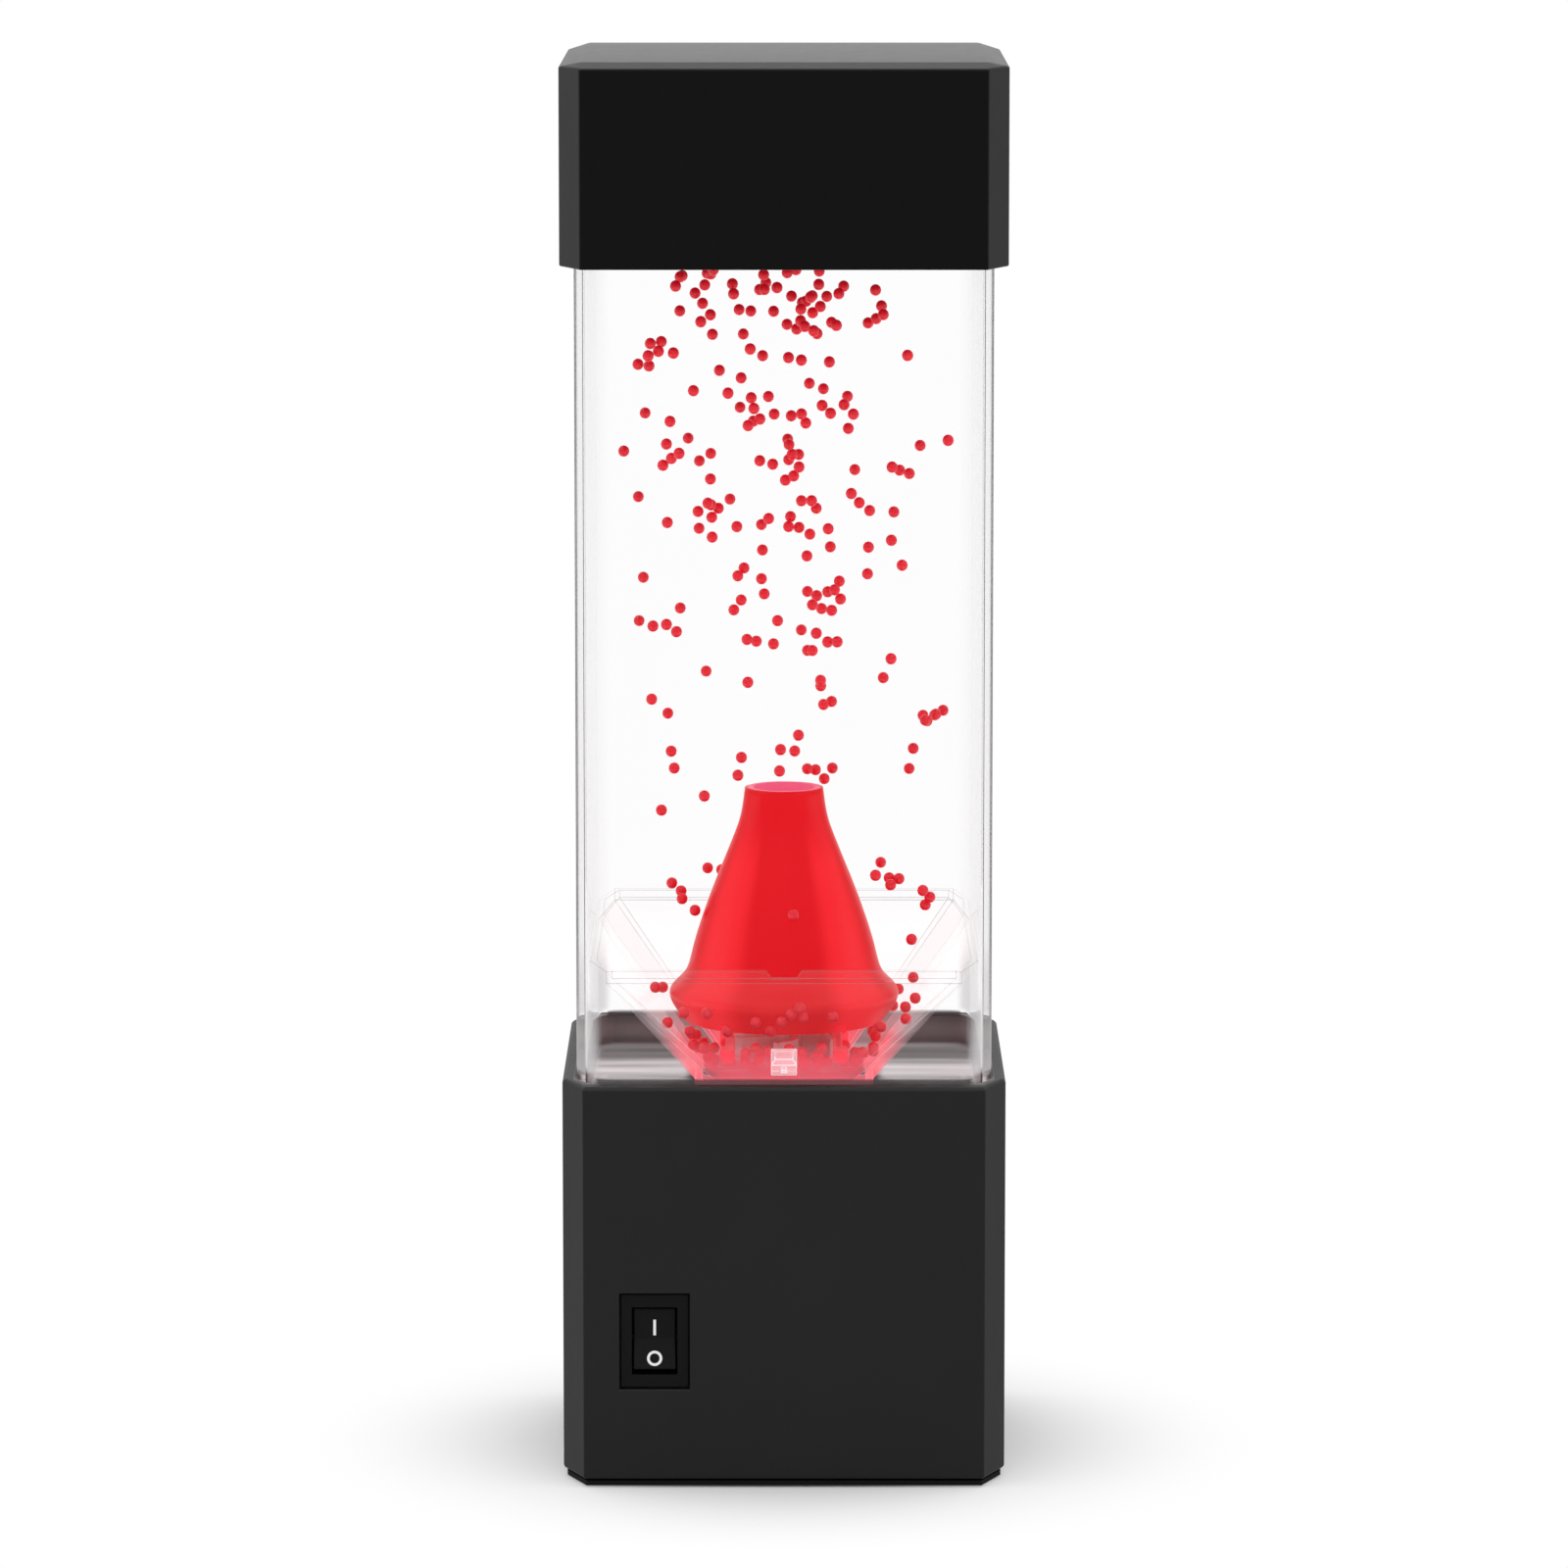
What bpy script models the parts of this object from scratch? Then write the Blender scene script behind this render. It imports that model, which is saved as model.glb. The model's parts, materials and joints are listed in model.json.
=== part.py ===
"""Volcano bead lamp: a square water tower in which a magnetic impeller blows beads out of a volcano.

Metres, +Z up. The front, with the switch, faces -Y. The origin is on the floor, under the middle of the lamp.
"""

import math
from typing import NamedTuple

import bmesh
import bpy
from mathutils import Vector

# Fits
GAP = 0.0003  # between pieces that touch
RUNNING_GAP = 0.0010  # between what turns and what stands still
SINK = 0.0005  # how far a boss or rib is rooted in the wall that carries it
PAST = 0.0020  # how far a cut runs past the face that it opens
WELD = 0.000001  # points nearer than this are one

# Body outline, which the base and the cap share
BODY_WIDTH = 0.0700
BODY_DEPTH = 0.0700
CORNER_CUT_X = 0.0034
CORNER_CUT_Y = 0.0080

# Base housing
BASE_TOP = 0.0643
BASE_WALL = 0.0022
BASE_FOOT_BEVEL = 0.0004
LEDGE_SIDE = 0.0019
LEDGE_FRONT = 0.0027
LEDGE_SOFTENING = 0.0005
RECESS_DEPTH = 0.0073
DECK = 0.0022
WINDOW_RADIUS = 0.0190
BOSS_RADIUS = 0.0030
BOSS_RIB = 0.0016

# Bottom plate, feet and screws
FOOT_PROUD = 0.0003
FOOT_LENGTH = 0.0140
FOOT_WIDTH = 0.0050
FOOT_THICKNESS = 0.0012
FOOT_INSET_X = 0.0045
FOOT_INSET_Y = 0.0195
PLATE_THICKNESS = 0.0030
PLATE_FLANGE = 0.0008
PLATE_INSET = 0.0006
GROOVE_LIP = 0.0008
SCREW_INSET_X = 0.0056
SCREW_INSET_Y = 0.0085
SCREW_HEAD_RADIUS = 0.0020
SCREW_HEAD = 0.0010
SCREW_RADIUS = 0.0011
SCREW_LENGTH = 0.0080

# Cells, contacts, battery bay and its door
CELL_COUNT = 3
CELL_RADIUS = 0.00525
CELL_LENGTH = 0.0445
CELL_NUB_RADIUS = 0.0019
CELL_NUB = 0.0010
CELL_SHOULDER = 0.0006
CONTACT_PLATE = 0.0005
CONTACT_SIDE = 0.0085
SPRING_LENGTH = 0.0050
SPRING_RADIUS = 0.0028
SPRING_WIRE_RADIUS = 0.0003
SPRING_TURNS = 4
BAY_WALL = 0.0013
DOOR_LIP = 0.0006
DOOR_GRIP_COUNT = 4
DOOR_GRIP_DEPTH = 0.0004
DOOR_GRIP_WIDTH = 0.0009
DOOR_GRIP_PITCH = 0.0018
DOOR_GRIP_LENGTH = 0.0180
DOOR_GRIP_MARGIN = 0.0036

# Rocker switch in the front wall
SWITCH_FROM_SIDE = 0.0146
SWITCH_Z = 0.0236
SWITCH_FLANGE_WIDTH = 0.0105
SWITCH_FLANGE_HEIGHT = 0.0148
SWITCH_FLANGE = 0.0009
SWITCH_POCKET_DEPTH = 0.0018
SWITCH_SEAT = 0.0020
SWITCH_SEAT_MARGIN = 0.0016
SWITCH_BODY_WIDTH = 0.0086
SWITCH_BODY_HEIGHT = 0.0126
SWITCH_BODY_DEPTH = 0.0120
SWITCH_OPENING_WIDTH = 0.0072
SWITCH_OPENING_HEIGHT = 0.0108
ROCKER_WIDTH = 0.0066
ROCKER_HALF_LENGTH = 0.0048
ROCKER_PIVOT_DEPTH = 0.0020
ROCKER_BACK = 0.0015
ROCKER_PIVOT_FROM_FRONT = 0.0032
ROCKER_HALF_THROW = math.radians(7)
ROCKER_PIN_RADIUS = 0.0006
ROCKER_PIN_LENGTH = 0.0005
ROCKER_EDGE = 0.0002
TERMINAL_WIDTH = 0.0028
TERMINAL_THICKNESS = 0.0006
TERMINAL_LENGTH = 0.0060
TERMINAL_ROOT = 0.0015
TERMINAL_SPACING = 0.0070

# Supply inlet in the back wall
INLET_HEIGHT = 0.0200
INLET_WIDTH = 0.0089
INLET_THICKNESS = 0.0032
INLET_CORNER = 0.0012
INLET_WALL = 0.0004
INLET_LENGTH = 0.0070
TONGUE_WIDTH = 0.0062
TONGUE_THICKNESS = 0.0007
TONGUE_SETBACK = 0.0010

# Inner leads
LEAD_RADIUS = 0.0006
LEAD_REACH = 0.0060  # straight run at either end
LEAD_BOW = 0.0040

# Motor, tray, drive disc and lights under the tank
LED_CLEARANCE = 0.0006
LED_RADIUS = 0.0024
LED_HEIGHT = 0.0040
LED_RIM = 0.0003
LED_RIM_HEIGHT = 0.0008
LED_COUNT = 4
LED_CIRCLE = 0.0156
BOARD = 0.0016
BOARD_RADIUS = 0.0203
BOARD_HOLE = 0.0125
TRAY_WALL = 0.0016
TRAY_FLOOR = 0.0020
TRAY_FLANGE_RADIUS = 0.0262
TRAY_FLANGE = 0.0016
TRAY_SLEEVE = 0.0016
TRAY_SLEEVE_DEPTH = 0.0080
TRAY_SCREW_COUNT = 2
TRAY_SCREW_CIRCLE = 0.0242
TRAY_SCREW_HEAD_RADIUS = 0.0018
TRAY_SCREW_HEAD = 0.0010
TRAY_SCREW_RADIUS = 0.0009
TRAY_SCREW_BITE = 0.0014
MOTOR_RADIUS = 0.0122
MOTOR_HEIGHT = 0.0124
MOTOR_BEVEL = 0.0008
MOTOR_BOSS_RADIUS = 0.0031
MOTOR_BOSS = 0.0015
MOTOR_BORE = 0.0040
MOTOR_TAB_WIDTH = 0.0020
MOTOR_TAB_THICKNESS = 0.0005
MOTOR_TAB_LENGTH = 0.0030
MOTOR_TAB_SPACING = 0.0120
SHAFT_RADIUS = 0.0010
DISC_RADIUS = 0.0110
DISC = 0.0032
DISC_HUB_RADIUS = 0.0026
DISC_HUB = 0.0015
DISC_SHAFT_STEP = 0.0004
MAGNET_RADIUS = 0.0030
MAGNET = 0.0020
MAGNET_CIRCLE = 0.0066
MAGNET_COUNT = 2

# Tank
TANK_CORNER_X = 0.0046
TANK_CORNER_Y = 0.0080
TANK_WALL = 0.0016
TANK_FLOOR = 0.0020
TANK_SHOWN = 0.1283  # between the ledge of the base and the cap

# Impeller on the floor of the tank
PIN_RADIUS = 0.0008
PIN_LENGTH = 0.0092
PIN_ROOT = 0.0022
PIN_BOSS_RADIUS = 0.0025
PIN_BOSS = 0.0010
IMPELLER_RADIUS = 0.0105
IMPELLER_DISC = 0.0034
IMPELLER_HUB_RADIUS = 0.0030
IMPELLER_HUB = 0.0036  # above the disc
IMPELLER_BLADE_COUNT = 6
IMPELLER_BLADE = 0.0010
IMPELLER_BLADE_HEIGHT = 0.0030
IMPELLER_BLADE_SWEEP = math.radians(38)
IMPELLER_BLADE_CURL = 1.5  # over 1, a blade leaves its hub straighter than it ends
RING_MAGNET_INNER = 0.0045
RING_MAGNET_OUTER = 0.0089
RING_MAGNET = 0.0020

# Funnel in the tank
FUNNEL_RIM = 0.0226  # above the floor of the tank at the front, as are the next two
FUNNEL_SLOPE_TOP = 0.0213
FUNNEL_SLOPE_FOOT = 0.0026
FUNNEL_BACK_RISE = 0.0038  # how much higher the lip is at the back
FUNNEL_MOUTH = 0.0131
FUNNEL_MOUTH_CUT = 0.0030
FUNNEL_WALL = 0.0012
FUNNEL_CUT_X = 0.0030
FUNNEL_CUT_Y = 0.0080
NOTCH_WIDTH = 0.0057
NOTCH_FOOT_WIDTH = 0.0040
NOTCH_DEPTH = 0.0015
LUG_WIDTH = 0.0041
LUG_HEIGHT = 0.0043
LUG_LIFT = 0.0042
LUG_REACH = 0.0005
LUG_HOLE_RADIUS = 0.0005
LUG_HOLE_LIFT = 0.0009
LUG_HOLE_DEPTH = 0.0015

# Volcano: heights and radii of its outer flank above its foot, and the legs that stand on the funnel
VOLCANO_LIFT = 0.0100
VOLCANO_FLANK = (
    (0.0000, 0.0160),
    (0.0013, 0.0170),
    (0.0030, 0.0180),
    (0.0045, 0.0188),
    (0.0058, 0.0185),
    (0.0073, 0.0157),
    (0.0093, 0.0152),
    (0.0125, 0.0145),
    (0.0157, 0.0135),
    (0.0189, 0.0124),
    (0.0221, 0.0112),
    (0.0253, 0.0099),
    (0.0300, 0.0080),
    (0.0332, 0.0068),
    (0.0377, 0.0063),
)
VOLCANO_WALL = 0.0014
VOLCANO_LEG_X = 0.0090
VOLCANO_LEG_WIDTH = 0.0026
VOLCANO_LEG = 0.0018
VOLCANO_LEG_LENGTH = 0.0050
VOLCANO_LEG_ROOT = 0.0020

# Beads at rest: the slope that each lies on, the end of it that is nearer, how far from that end and how high
BEAD_RADIUS = 0.0009
BEADS_AT_REST = (
    ("front", -1, 0.0016, 0.0078),
    ("front", -1, 0.0034, 0.0112),
    ("front", 1, 0.0018, 0.0086),
    ("right", -1, 0.0015, 0.0090),
    ("right", 1, 0.0022, 0.0110),
    ("back", 1, 0.0017, 0.0082),
    ("back", -1, 0.0026, 0.0100),
    ("left", 1, 0.0015, 0.0094),
    ("left", -1, 0.0030, 0.0080),
)

# Cap, with the plug and the seal of the tank
CAP_HEIGHT = 0.0319
CAP_ROOF = 0.0022
CAP_BEVEL = 0.0034
CAP_BEVEL_DROP = 0.0009
PLUG_FLANGE = 0.0020
PLUG_DEPTH = 0.0060
PLUG_WALL = 0.0010
SEAL = 0.0012

# Facets
LARGE_ROUND = 32
SMALL_ROUND = 16
TINY_ROUND = 12
CORNER_ROUND = 5
LED_DOME_STEPS = 3
BLADE_STEPS = 4
LEAD_STEPS = 5
SPRING_POINTS = 10

# Heights that follow from the sizes above
PLATE_BOTTOM = FOOT_PROUD
PLATE_TOP = PLATE_BOTTOM + PLATE_THICKNESS
GROOVE_FLOOR = PLATE_BOTTOM + GROOVE_LIP
GROOVE_ROOF = PLATE_TOP - GROOVE_LIP
HOUSING_BOTTOM = PLATE_BOTTOM + PLATE_FLANGE + GAP
DECK_TOP = BASE_TOP - RECESS_DEPTH
DECK_BOTTOM = DECK_TOP - DECK
TANK_BOTTOM = DECK_TOP + GAP
TANK_INSIDE = TANK_BOTTOM + TANK_FLOOR
CAP_BOTTOM = BASE_TOP + TANK_SHOWN
CAP_TOP = CAP_BOTTOM + CAP_HEIGHT
PLUG_TOP = CAP_TOP - CAP_ROOF - GAP
SEAL_TOP = PLUG_TOP - PLUG_FLANGE - GAP
TANK_TOP = SEAL_TOP - SEAL - GAP
LED_BASE = TANK_BOTTOM - LED_CLEARANCE - LED_HEIGHT
BOARD_BOTTOM = LED_BASE - GAP - BOARD
TRAY_TOP = DECK_BOTTOM - GAP
TRAY_INSIDE = BOARD_BOTTOM - GAP
TRAY_BOTTOM = TRAY_INSIDE - TRAY_FLOOR
MOTOR_TOP = TRAY_BOTTOM - GAP
MOTOR_BOTTOM = MOTOR_TOP - MOTOR_HEIGHT
DISC_BOTTOM = TANK_BOTTOM - RUNNING_GAP - DISC
IMPELLER_BOTTOM = TANK_INSIDE + PIN_BOSS + GAP
SLOPE_TOP = TANK_INSIDE + FUNNEL_SLOPE_TOP
SLOPE_FOOT = TANK_INSIDE + FUNNEL_SLOPE_FOOT
RIM_TOP = TANK_INSIDE + FUNNEL_RIM
VOLCANO_FOOT = TANK_INSIDE + VOLCANO_LIFT
CELL_AXIS = PLATE_TOP + GAP + CELL_RADIUS
BAY_TOP = CELL_AXIS + CELL_RADIUS + GAP

# Places in plan that follow from the sizes above
FRONT = -BODY_DEPTH / 2
BACK = BODY_DEPTH / 2
BAY_HALF_X = (CONTACT_PLATE + CELL_LENGTH + SPRING_LENGTH) / 2 + 2 * GAP
CELL_PITCH = 2 * CELL_RADIUS + GAP
BAY_HALF_Y = (CELL_COUNT - 1) / 2 * CELL_PITCH + CELL_RADIUS + GAP
DOOR_HALF = CELL_LENGTH / 2
SWITCH_X = SWITCH_FROM_SIDE - BODY_WIDTH / 2
ROCKER_Y = FRONT + ROCKER_PIVOT_FROM_FRONT
FLANGE_BACK = FRONT + SWITCH_POCKET_DEPTH - GAP
SWITCH_BACK = FLANGE_BACK + SWITCH_BODY_DEPTH

# Colour, roughness and metallic value of each material
FINISHES = {
    "black_plastic": ((0.014, 0.014, 0.014), 0.42, 0.0),
    "switch_plastic": ((0.008, 0.008, 0.008), 0.35, 0.0),
    "clear_plastic": ((0.86, 0.90, 0.92), 0.06, 0.0),
    "red_plastic": ((0.80, 0.01, 0.015), 0.28, 0.0),
    "bead_plastic": ((0.66, 0.012, 0.03), 0.30, 0.0),
    "rubber": ((0.02, 0.02, 0.02), 0.85, 0.0),
    "silicone": ((0.62, 0.64, 0.66), 0.60, 0.0),
    "white_plastic": ((0.78, 0.78, 0.76), 0.45, 0.0),
    "steel": ((0.56, 0.57, 0.58), 0.30, 1.0),
    "magnet": ((0.20, 0.20, 0.21), 0.38, 1.0),
    "brass": ((0.72, 0.52, 0.20), 0.32, 1.0),
    "cell_wrap": ((0.10, 0.12, 0.16), 0.35, 0.3),
    "board": ((0.03, 0.20, 0.08), 0.50, 0.0),
    "led_lens": ((0.92, 0.92, 0.88), 0.15, 0.0),
    "lead_wrap": ((0.45, 0.02, 0.02), 0.55, 0.0),
}


class Plan(NamedTuple):
    """An outline seen from above: half its sides and its corners, cut flat in one step or rounded in more."""

    half_x: float
    half_y: float
    cut_x: float
    cut_y: float
    steps: int = 1

    def inset(self, by):
        """The same outline an even distance further in."""
        if self.steps == 1:
            slant = self.cut_x + self.cut_y - math.hypot(self.cut_x, self.cut_y)
            share = 1 - by * slant / (self.cut_x * self.cut_y)
            cuts = (self.cut_x * share, self.cut_y * share)
        else:
            cuts = (max(self.cut_x - by, SINK), max(self.cut_y - by, SINK))
        return Plan(self.half_x - by, self.half_y - by, *cuts, self.steps)

    def ring(self, z):
        """The outline's points at one height, anticlockwise from the front right corner."""
        points = []
        for quarter, (side_x, side_y) in enumerate(((1, -1), (1, 1), (-1, 1), (-1, -1))):
            for step in range(self.steps + 1):
                angle = math.radians(90) * (quarter - 1 + step / self.steps)
                x = side_x * (self.half_x - self.cut_x) + self.cut_x * math.cos(angle)
                y = side_y * (self.half_y - self.cut_y) + self.cut_y * math.sin(angle)
                points.append((x, y, z))
        return points


BODY = Plan(BODY_WIDTH / 2, BODY_DEPTH / 2, CORNER_CUT_X, CORNER_CUT_Y)
TANK = Plan(
    BODY_WIDTH / 2 - LEDGE_SIDE - GAP,
    BODY_DEPTH / 2 - LEDGE_FRONT - GAP,
    TANK_CORNER_X,
    TANK_CORNER_Y,
    CORNER_ROUND,
)
TANK_HOLLOW = TANK.inset(TANK_WALL)
FUNNEL_LIP = Plan(TANK_HOLLOW.half_x - GAP, TANK_HOLLOW.half_y - GAP, FUNNEL_CUT_X, FUNNEL_CUT_Y)
FUNNEL_HOLLOW = FUNNEL_LIP.inset(FUNNEL_WALL)
MOUTH = Plan(FUNNEL_MOUTH, FUNNEL_MOUTH, FUNNEL_MOUTH_CUT, FUNNEL_MOUTH_CUT)


# How much higher each slope of the funnel ends than the front one
SLOPE_RISE = {
    "front": 0.0,
    "left": FUNNEL_BACK_RISE / 2,
    "right": FUNNEL_BACK_RISE / 2,
    "back": FUNNEL_BACK_RISE,
}


def down_the_slope(at_lip, at_mouth, z, side):
    """A size of the funnel's inside at one height of a slope, from what it is at the lip and at the mouth."""
    share = (z - SLOPE_FOOT) / (SLOPE_TOP + SLOPE_RISE[side] - SLOPE_FOOT)
    return at_mouth + share * (at_lip - at_mouth)


def slope_out(side, z):
    """How far from the middle the inside of one of the funnel's slopes is at one height."""
    lip = FUNNEL_HOLLOW.half_x if side in ("left", "right") else FUNNEL_HOLLOW.half_y
    return down_the_slope(lip, FUNNEL_MOUTH, z, side)


def slope_ring(plan, z):
    """The ring in which the funnel's slopes end, each at its own height above the front one's."""
    ring = []
    for x, y, level in plan.ring(z):
        if plan.half_y - abs(y) > WELD:
            side = "right" if x > 0 else "left"
        else:
            side = "back" if y > 0 else "front"
        ring.append((x, y, level + SLOPE_RISE[side]))
    return ring


def rim_ring(plan):
    """A ring on the top of the funnel's lip, which rises evenly to the back."""
    share = FUNNEL_BACK_RISE / (2 * FUNNEL_LIP.half_y)
    return [(x, y, z + share * (y + FUNNEL_LIP.half_y)) for x, y, z in plan.ring(RIM_TOP)]


# Modelling tools


def finished(form):
    """The closed mesh of a bmesh, welded and facing out."""
    bmesh.ops.remove_doubles(form, verts=form.verts, dist=WELD)
    bmesh.ops.recalc_face_normals(form, faces=form.faces)
    mesh = bpy.data.meshes.new("form")
    form.to_mesh(mesh)
    form.free()
    return mesh


def loft(rings, closed=False):
    """A skin through rings of equally many points, capped unless the last ring leads back to the first."""
    form = bmesh.new()
    loops = [[form.verts.new(point) for point in ring] for ring in rings]
    pairs = list(zip(loops, loops[1:]))
    if closed:
        pairs.append((loops[-1], loops[0]))
    else:
        form.faces.new(loops[0])
        form.faces.new(loops[-1])
    for near, far in pairs:
        for i in range(len(near)):
            j = (i + 1) % len(near)
            form.faces.new((near[i], near[j], far[j], far[i]))
    return finished(form)


def turned(profile, steps):
    """A profile of (radius, height) spun about Z: a ring, or a full body if both its ends are on the axis."""
    form = bmesh.new()
    points = [form.verts.new((radius, 0, z)) for radius, z in profile]
    edges = [form.edges.new(pair) for pair in zip(points, points[1:])]
    if profile[0][0] > 0:
        edges.append(form.edges.new((points[-1], points[0])))
    bmesh.ops.spin(
        form,
        geom=points + edges,
        axis=(0, 0, 1),
        cent=(0, 0, 0),
        angle=2 * math.pi,
        steps=steps,
        use_merge=True,
    )
    return finished(form)


def rod(radius, low, high, steps=SMALL_ROUND):
    """A plain round bar about Z."""
    return turned(((0, low), (radius, low), (radius, high), (0, high)), steps)


def block(low, high):
    """A box between two opposite corners."""
    rings = []
    for z in (low[2], high[2]):
        rings.append([(low[0], low[1], z), (high[0], low[1], z), (high[0], high[1], z), (low[0], high[1], z)])
    return loft(rings)


def bar_along_y(outline, front, back):
    """An outline of (x, z) points drawn out along Y."""
    return loft([[(x, y, z) for x, z in outline] for y in (front, back)])


def bar_along_x(outline, left, right):
    """An outline of (y, z) points drawn out along X."""
    return loft([[(x, y, z) for y, z in outline] for x in (left, right)])


def moved(mesh, x=0.0, y=0.0, z=0.0):
    """A mesh's copy in another place."""
    copy = mesh.copy()
    for point in copy.vertices:
        point.co += Vector((x, y, z))
    return copy


def together(*meshes):
    """Several separate forms as one mesh."""
    form = bmesh.new()
    for mesh in meshes:
        form.from_mesh(mesh)
    return finished(form)


def smooth_curve(points, steps):
    """Points along a smooth curve through those given, with so many steps between two of them."""
    ends = [2 * points[0] - points[1], *points, 2 * points[-1] - points[-2]]
    curve = []
    for a, b, c, d in zip(ends, ends[1:], ends[2:], ends[3:]):
        for step in range(steps):
            t = step / steps
            bend = 2 * a - 5 * b + 4 * c - d
            twist = 3 * b - a - 3 * c + d
            curve.append((2 * b + (c - a) * t + bend * t**2 + twist * t**3) / 2)
    return [*curve, points[-1]]


def material(name):
    """The named finish as a material."""
    if name in bpy.data.materials:
        return bpy.data.materials[name]
    colour, roughness, metallic = FINISHES[name]
    made = bpy.data.materials.new(name)
    made.use_nodes = True
    shader = made.node_tree.nodes["Principled BSDF"]
    shader.inputs["Base Color"].default_value = (*colour, 1)
    shader.inputs["Roughness"].default_value = roughness
    shader.inputs["Metallic"].default_value = metallic
    return made


def place(obj, at, parent, turn):
    """Puts an object into the scene, at a place given in the lamp's frame."""
    bpy.context.scene.collection.objects.link(obj)
    obj.parent = parent
    obj.location = Vector(at) - (parent.location if parent else Vector())
    obj.rotation_euler = turn
    return obj


def piece(name, mesh, finish, at=(0, 0, 0), parent=None, turn=(0, 0, 0), smooth=None):
    """A named piece of the lamp, its edges under the angle smooth shaded round."""
    obj = bpy.data.objects.new(name, mesh)
    mesh.name = name
    mesh.materials.clear()
    mesh.materials.append(material(finish))
    if smooth:
        mesh.shade_smooth()
        mesh.set_sharp_from_angle(angle=smooth)
    return place(obj, at, parent, turn)


def tube(name, points, radius, finish, at=(0, 0, 0), turn=(0, 0, 0)):
    """A round wire through points."""
    curve = bpy.data.curves.new(name, "CURVE")
    curve.dimensions = "3D"
    curve.bevel_depth = radius
    curve.bevel_resolution = 1
    curve.use_fill_caps = True
    spline = curve.splines.new("POLY")
    spline.points.add(len(points) - 1)
    for target, point in zip(spline.points, points):
        target.co = (*point, 1)
    curve.materials.append(material(finish))
    return place(bpy.data.objects.new(name, curve), at, None, turn)


def pivot(name, at):
    """An empty on a joint's axis, which carries what moves there."""
    empty = bpy.data.objects.new(name, None)
    return place(empty, at, None, (0, 0, 0))


def boolean(target, operation, name, meshes, carrier):
    """Combines a piece with forms in the lamp's frame, or in the frame of the empty that carries them."""
    tool = bpy.data.objects.new(name, together(*meshes))
    place(tool, carrier.location if carrier else (0, 0, 0), carrier, (0, 0, 0))
    tool.hide_render = True
    tool.display_type = "WIRE"
    modifier = target.modifiers.new(name, "BOOLEAN")
    modifier.operation = operation
    modifier.object = tool


def cut(target, name, *meshes, carrier=None):
    boolean(target, "DIFFERENCE", "cut_" + name, meshes, carrier)


def add(target, name, *meshes, carrier=None):
    boolean(target, "UNION", "add_" + name, meshes, carrier)


def on_circle(radius, count, start=math.radians(45)):
    """Evenly spaced (x, y) places on a circle."""
    angles = [start + 2 * math.pi * i / count for i in range(count)]
    return [(radius * math.cos(angle), radius * math.sin(angle)) for angle in angles]


def four_corners(x, y):
    """The four mirrored (x, y) places, anticlockwise from the front right."""
    return [(x, -y), (x, y), (-x, y), (-x, -y)]


ROUND = math.radians(40)
SCREW_PLACES = four_corners(BODY_WIDTH / 2 - SCREW_INSET_X, BODY_DEPTH / 2 - SCREW_INSET_Y)
FOOT_PLACES = four_corners(BODY_WIDTH / 2 - FOOT_INSET_X, BODY_DEPTH / 2 - FOOT_INSET_Y)
TRAY_SCREW_PLACES = on_circle(TRAY_SCREW_CIRCLE, TRAY_SCREW_COUNT)
LED_PLACES = on_circle(LED_CIRCLE, LED_COUNT, 0)
MAGNET_PLACES = on_circle(MAGNET_CIRCLE, MAGNET_COUNT, 0)
SCREW_SEAT = PLATE_BOTTOM + GAP
SCREW_TIP = SCREW_SEAT + SCREW_HEAD + SCREW_LENGTH
TRAY_SCREW_TIP = DECK_BOTTOM + TRAY_SCREW_BITE


# Base


def base_housing():
    skin = [
        BODY.inset(BASE_FOOT_BEVEL).ring(HOUSING_BOTTOM),
        BODY.ring(HOUSING_BOTTOM + BASE_FOOT_BEVEL),
        BODY.ring(BASE_TOP - LEDGE_SOFTENING),
        BODY.inset(LEDGE_SOFTENING).ring(BASE_TOP),
    ]
    housing = piece("base_housing", loft(skin), "black_plastic")
    inside = BODY.inset(BASE_WALL)
    recess = TANK.inset(-GAP)
    cut(
        housing,
        "base_hollows",
        loft([inside.ring(HOUSING_BOTTOM - PAST), inside.ring(DECK_BOTTOM)]),
        loft([recess.ring(DECK_TOP), recess.ring(BASE_TOP + PAST)]),
    )
    cut(housing, "deck_window", rod(WINDOW_RADIUS, DECK_BOTTOM - PAST, DECK_TOP + PAST, LARGE_ROUND))
    boss = rod(BOSS_RADIUS, PLATE_TOP + GAP, DECK_BOTTOM + SINK)
    add(housing, "screw_bosses", *[moved(boss, x, y) for x, y in SCREW_PLACES])
    add(housing, "boss_ribs", *[boss_rib(x, y) for x, y in SCREW_PLACES])
    seat_back = FRONT + SWITCH_POCKET_DEPTH + SWITCH_SEAT
    add(housing, "switch_seat", switch_block(SWITCH_SEAT_MARGIN, FRONT + SINK, seat_back))
    boss_bore = rod(SCREW_RADIUS + GAP, PLATE_TOP - PAST, SCREW_TIP + GAP, TINY_ROUND)
    deck_bore = rod(TRAY_SCREW_RADIUS + GAP, DECK_BOTTOM - PAST, TRAY_SCREW_TIP + GAP, TINY_ROUND)
    door_way = DOOR_HALF + DOOR_LIP + GAP
    cut(
        housing,
        "base_openings",
        *[moved(boss_bore, x, y) for x, y in SCREW_PLACES],
        *[moved(deck_bore, x, y) for x, y in TRAY_SCREW_PLACES],
        inlet_bar(-GAP, BACK - BASE_WALL - PAST, BACK + PAST),
        block(
            (-door_way, BACK - BASE_WALL - PAST, HOUSING_BOTTOM - PAST),
            (door_way, BACK + PAST, GROOVE_ROOF),
        ),
    )
    cut(housing, "switch_pocket", switch_block(GAP, FRONT - PAST, FRONT + SWITCH_POCKET_DEPTH))
    hole_width = SWITCH_BODY_WIDTH + 2 * GAP
    hole_height = SWITCH_BODY_HEIGHT + 2 * GAP
    cut(housing, "switch_hole", switch_box(hole_width, hole_height, FRONT, SWITCH_BACK))


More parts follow.
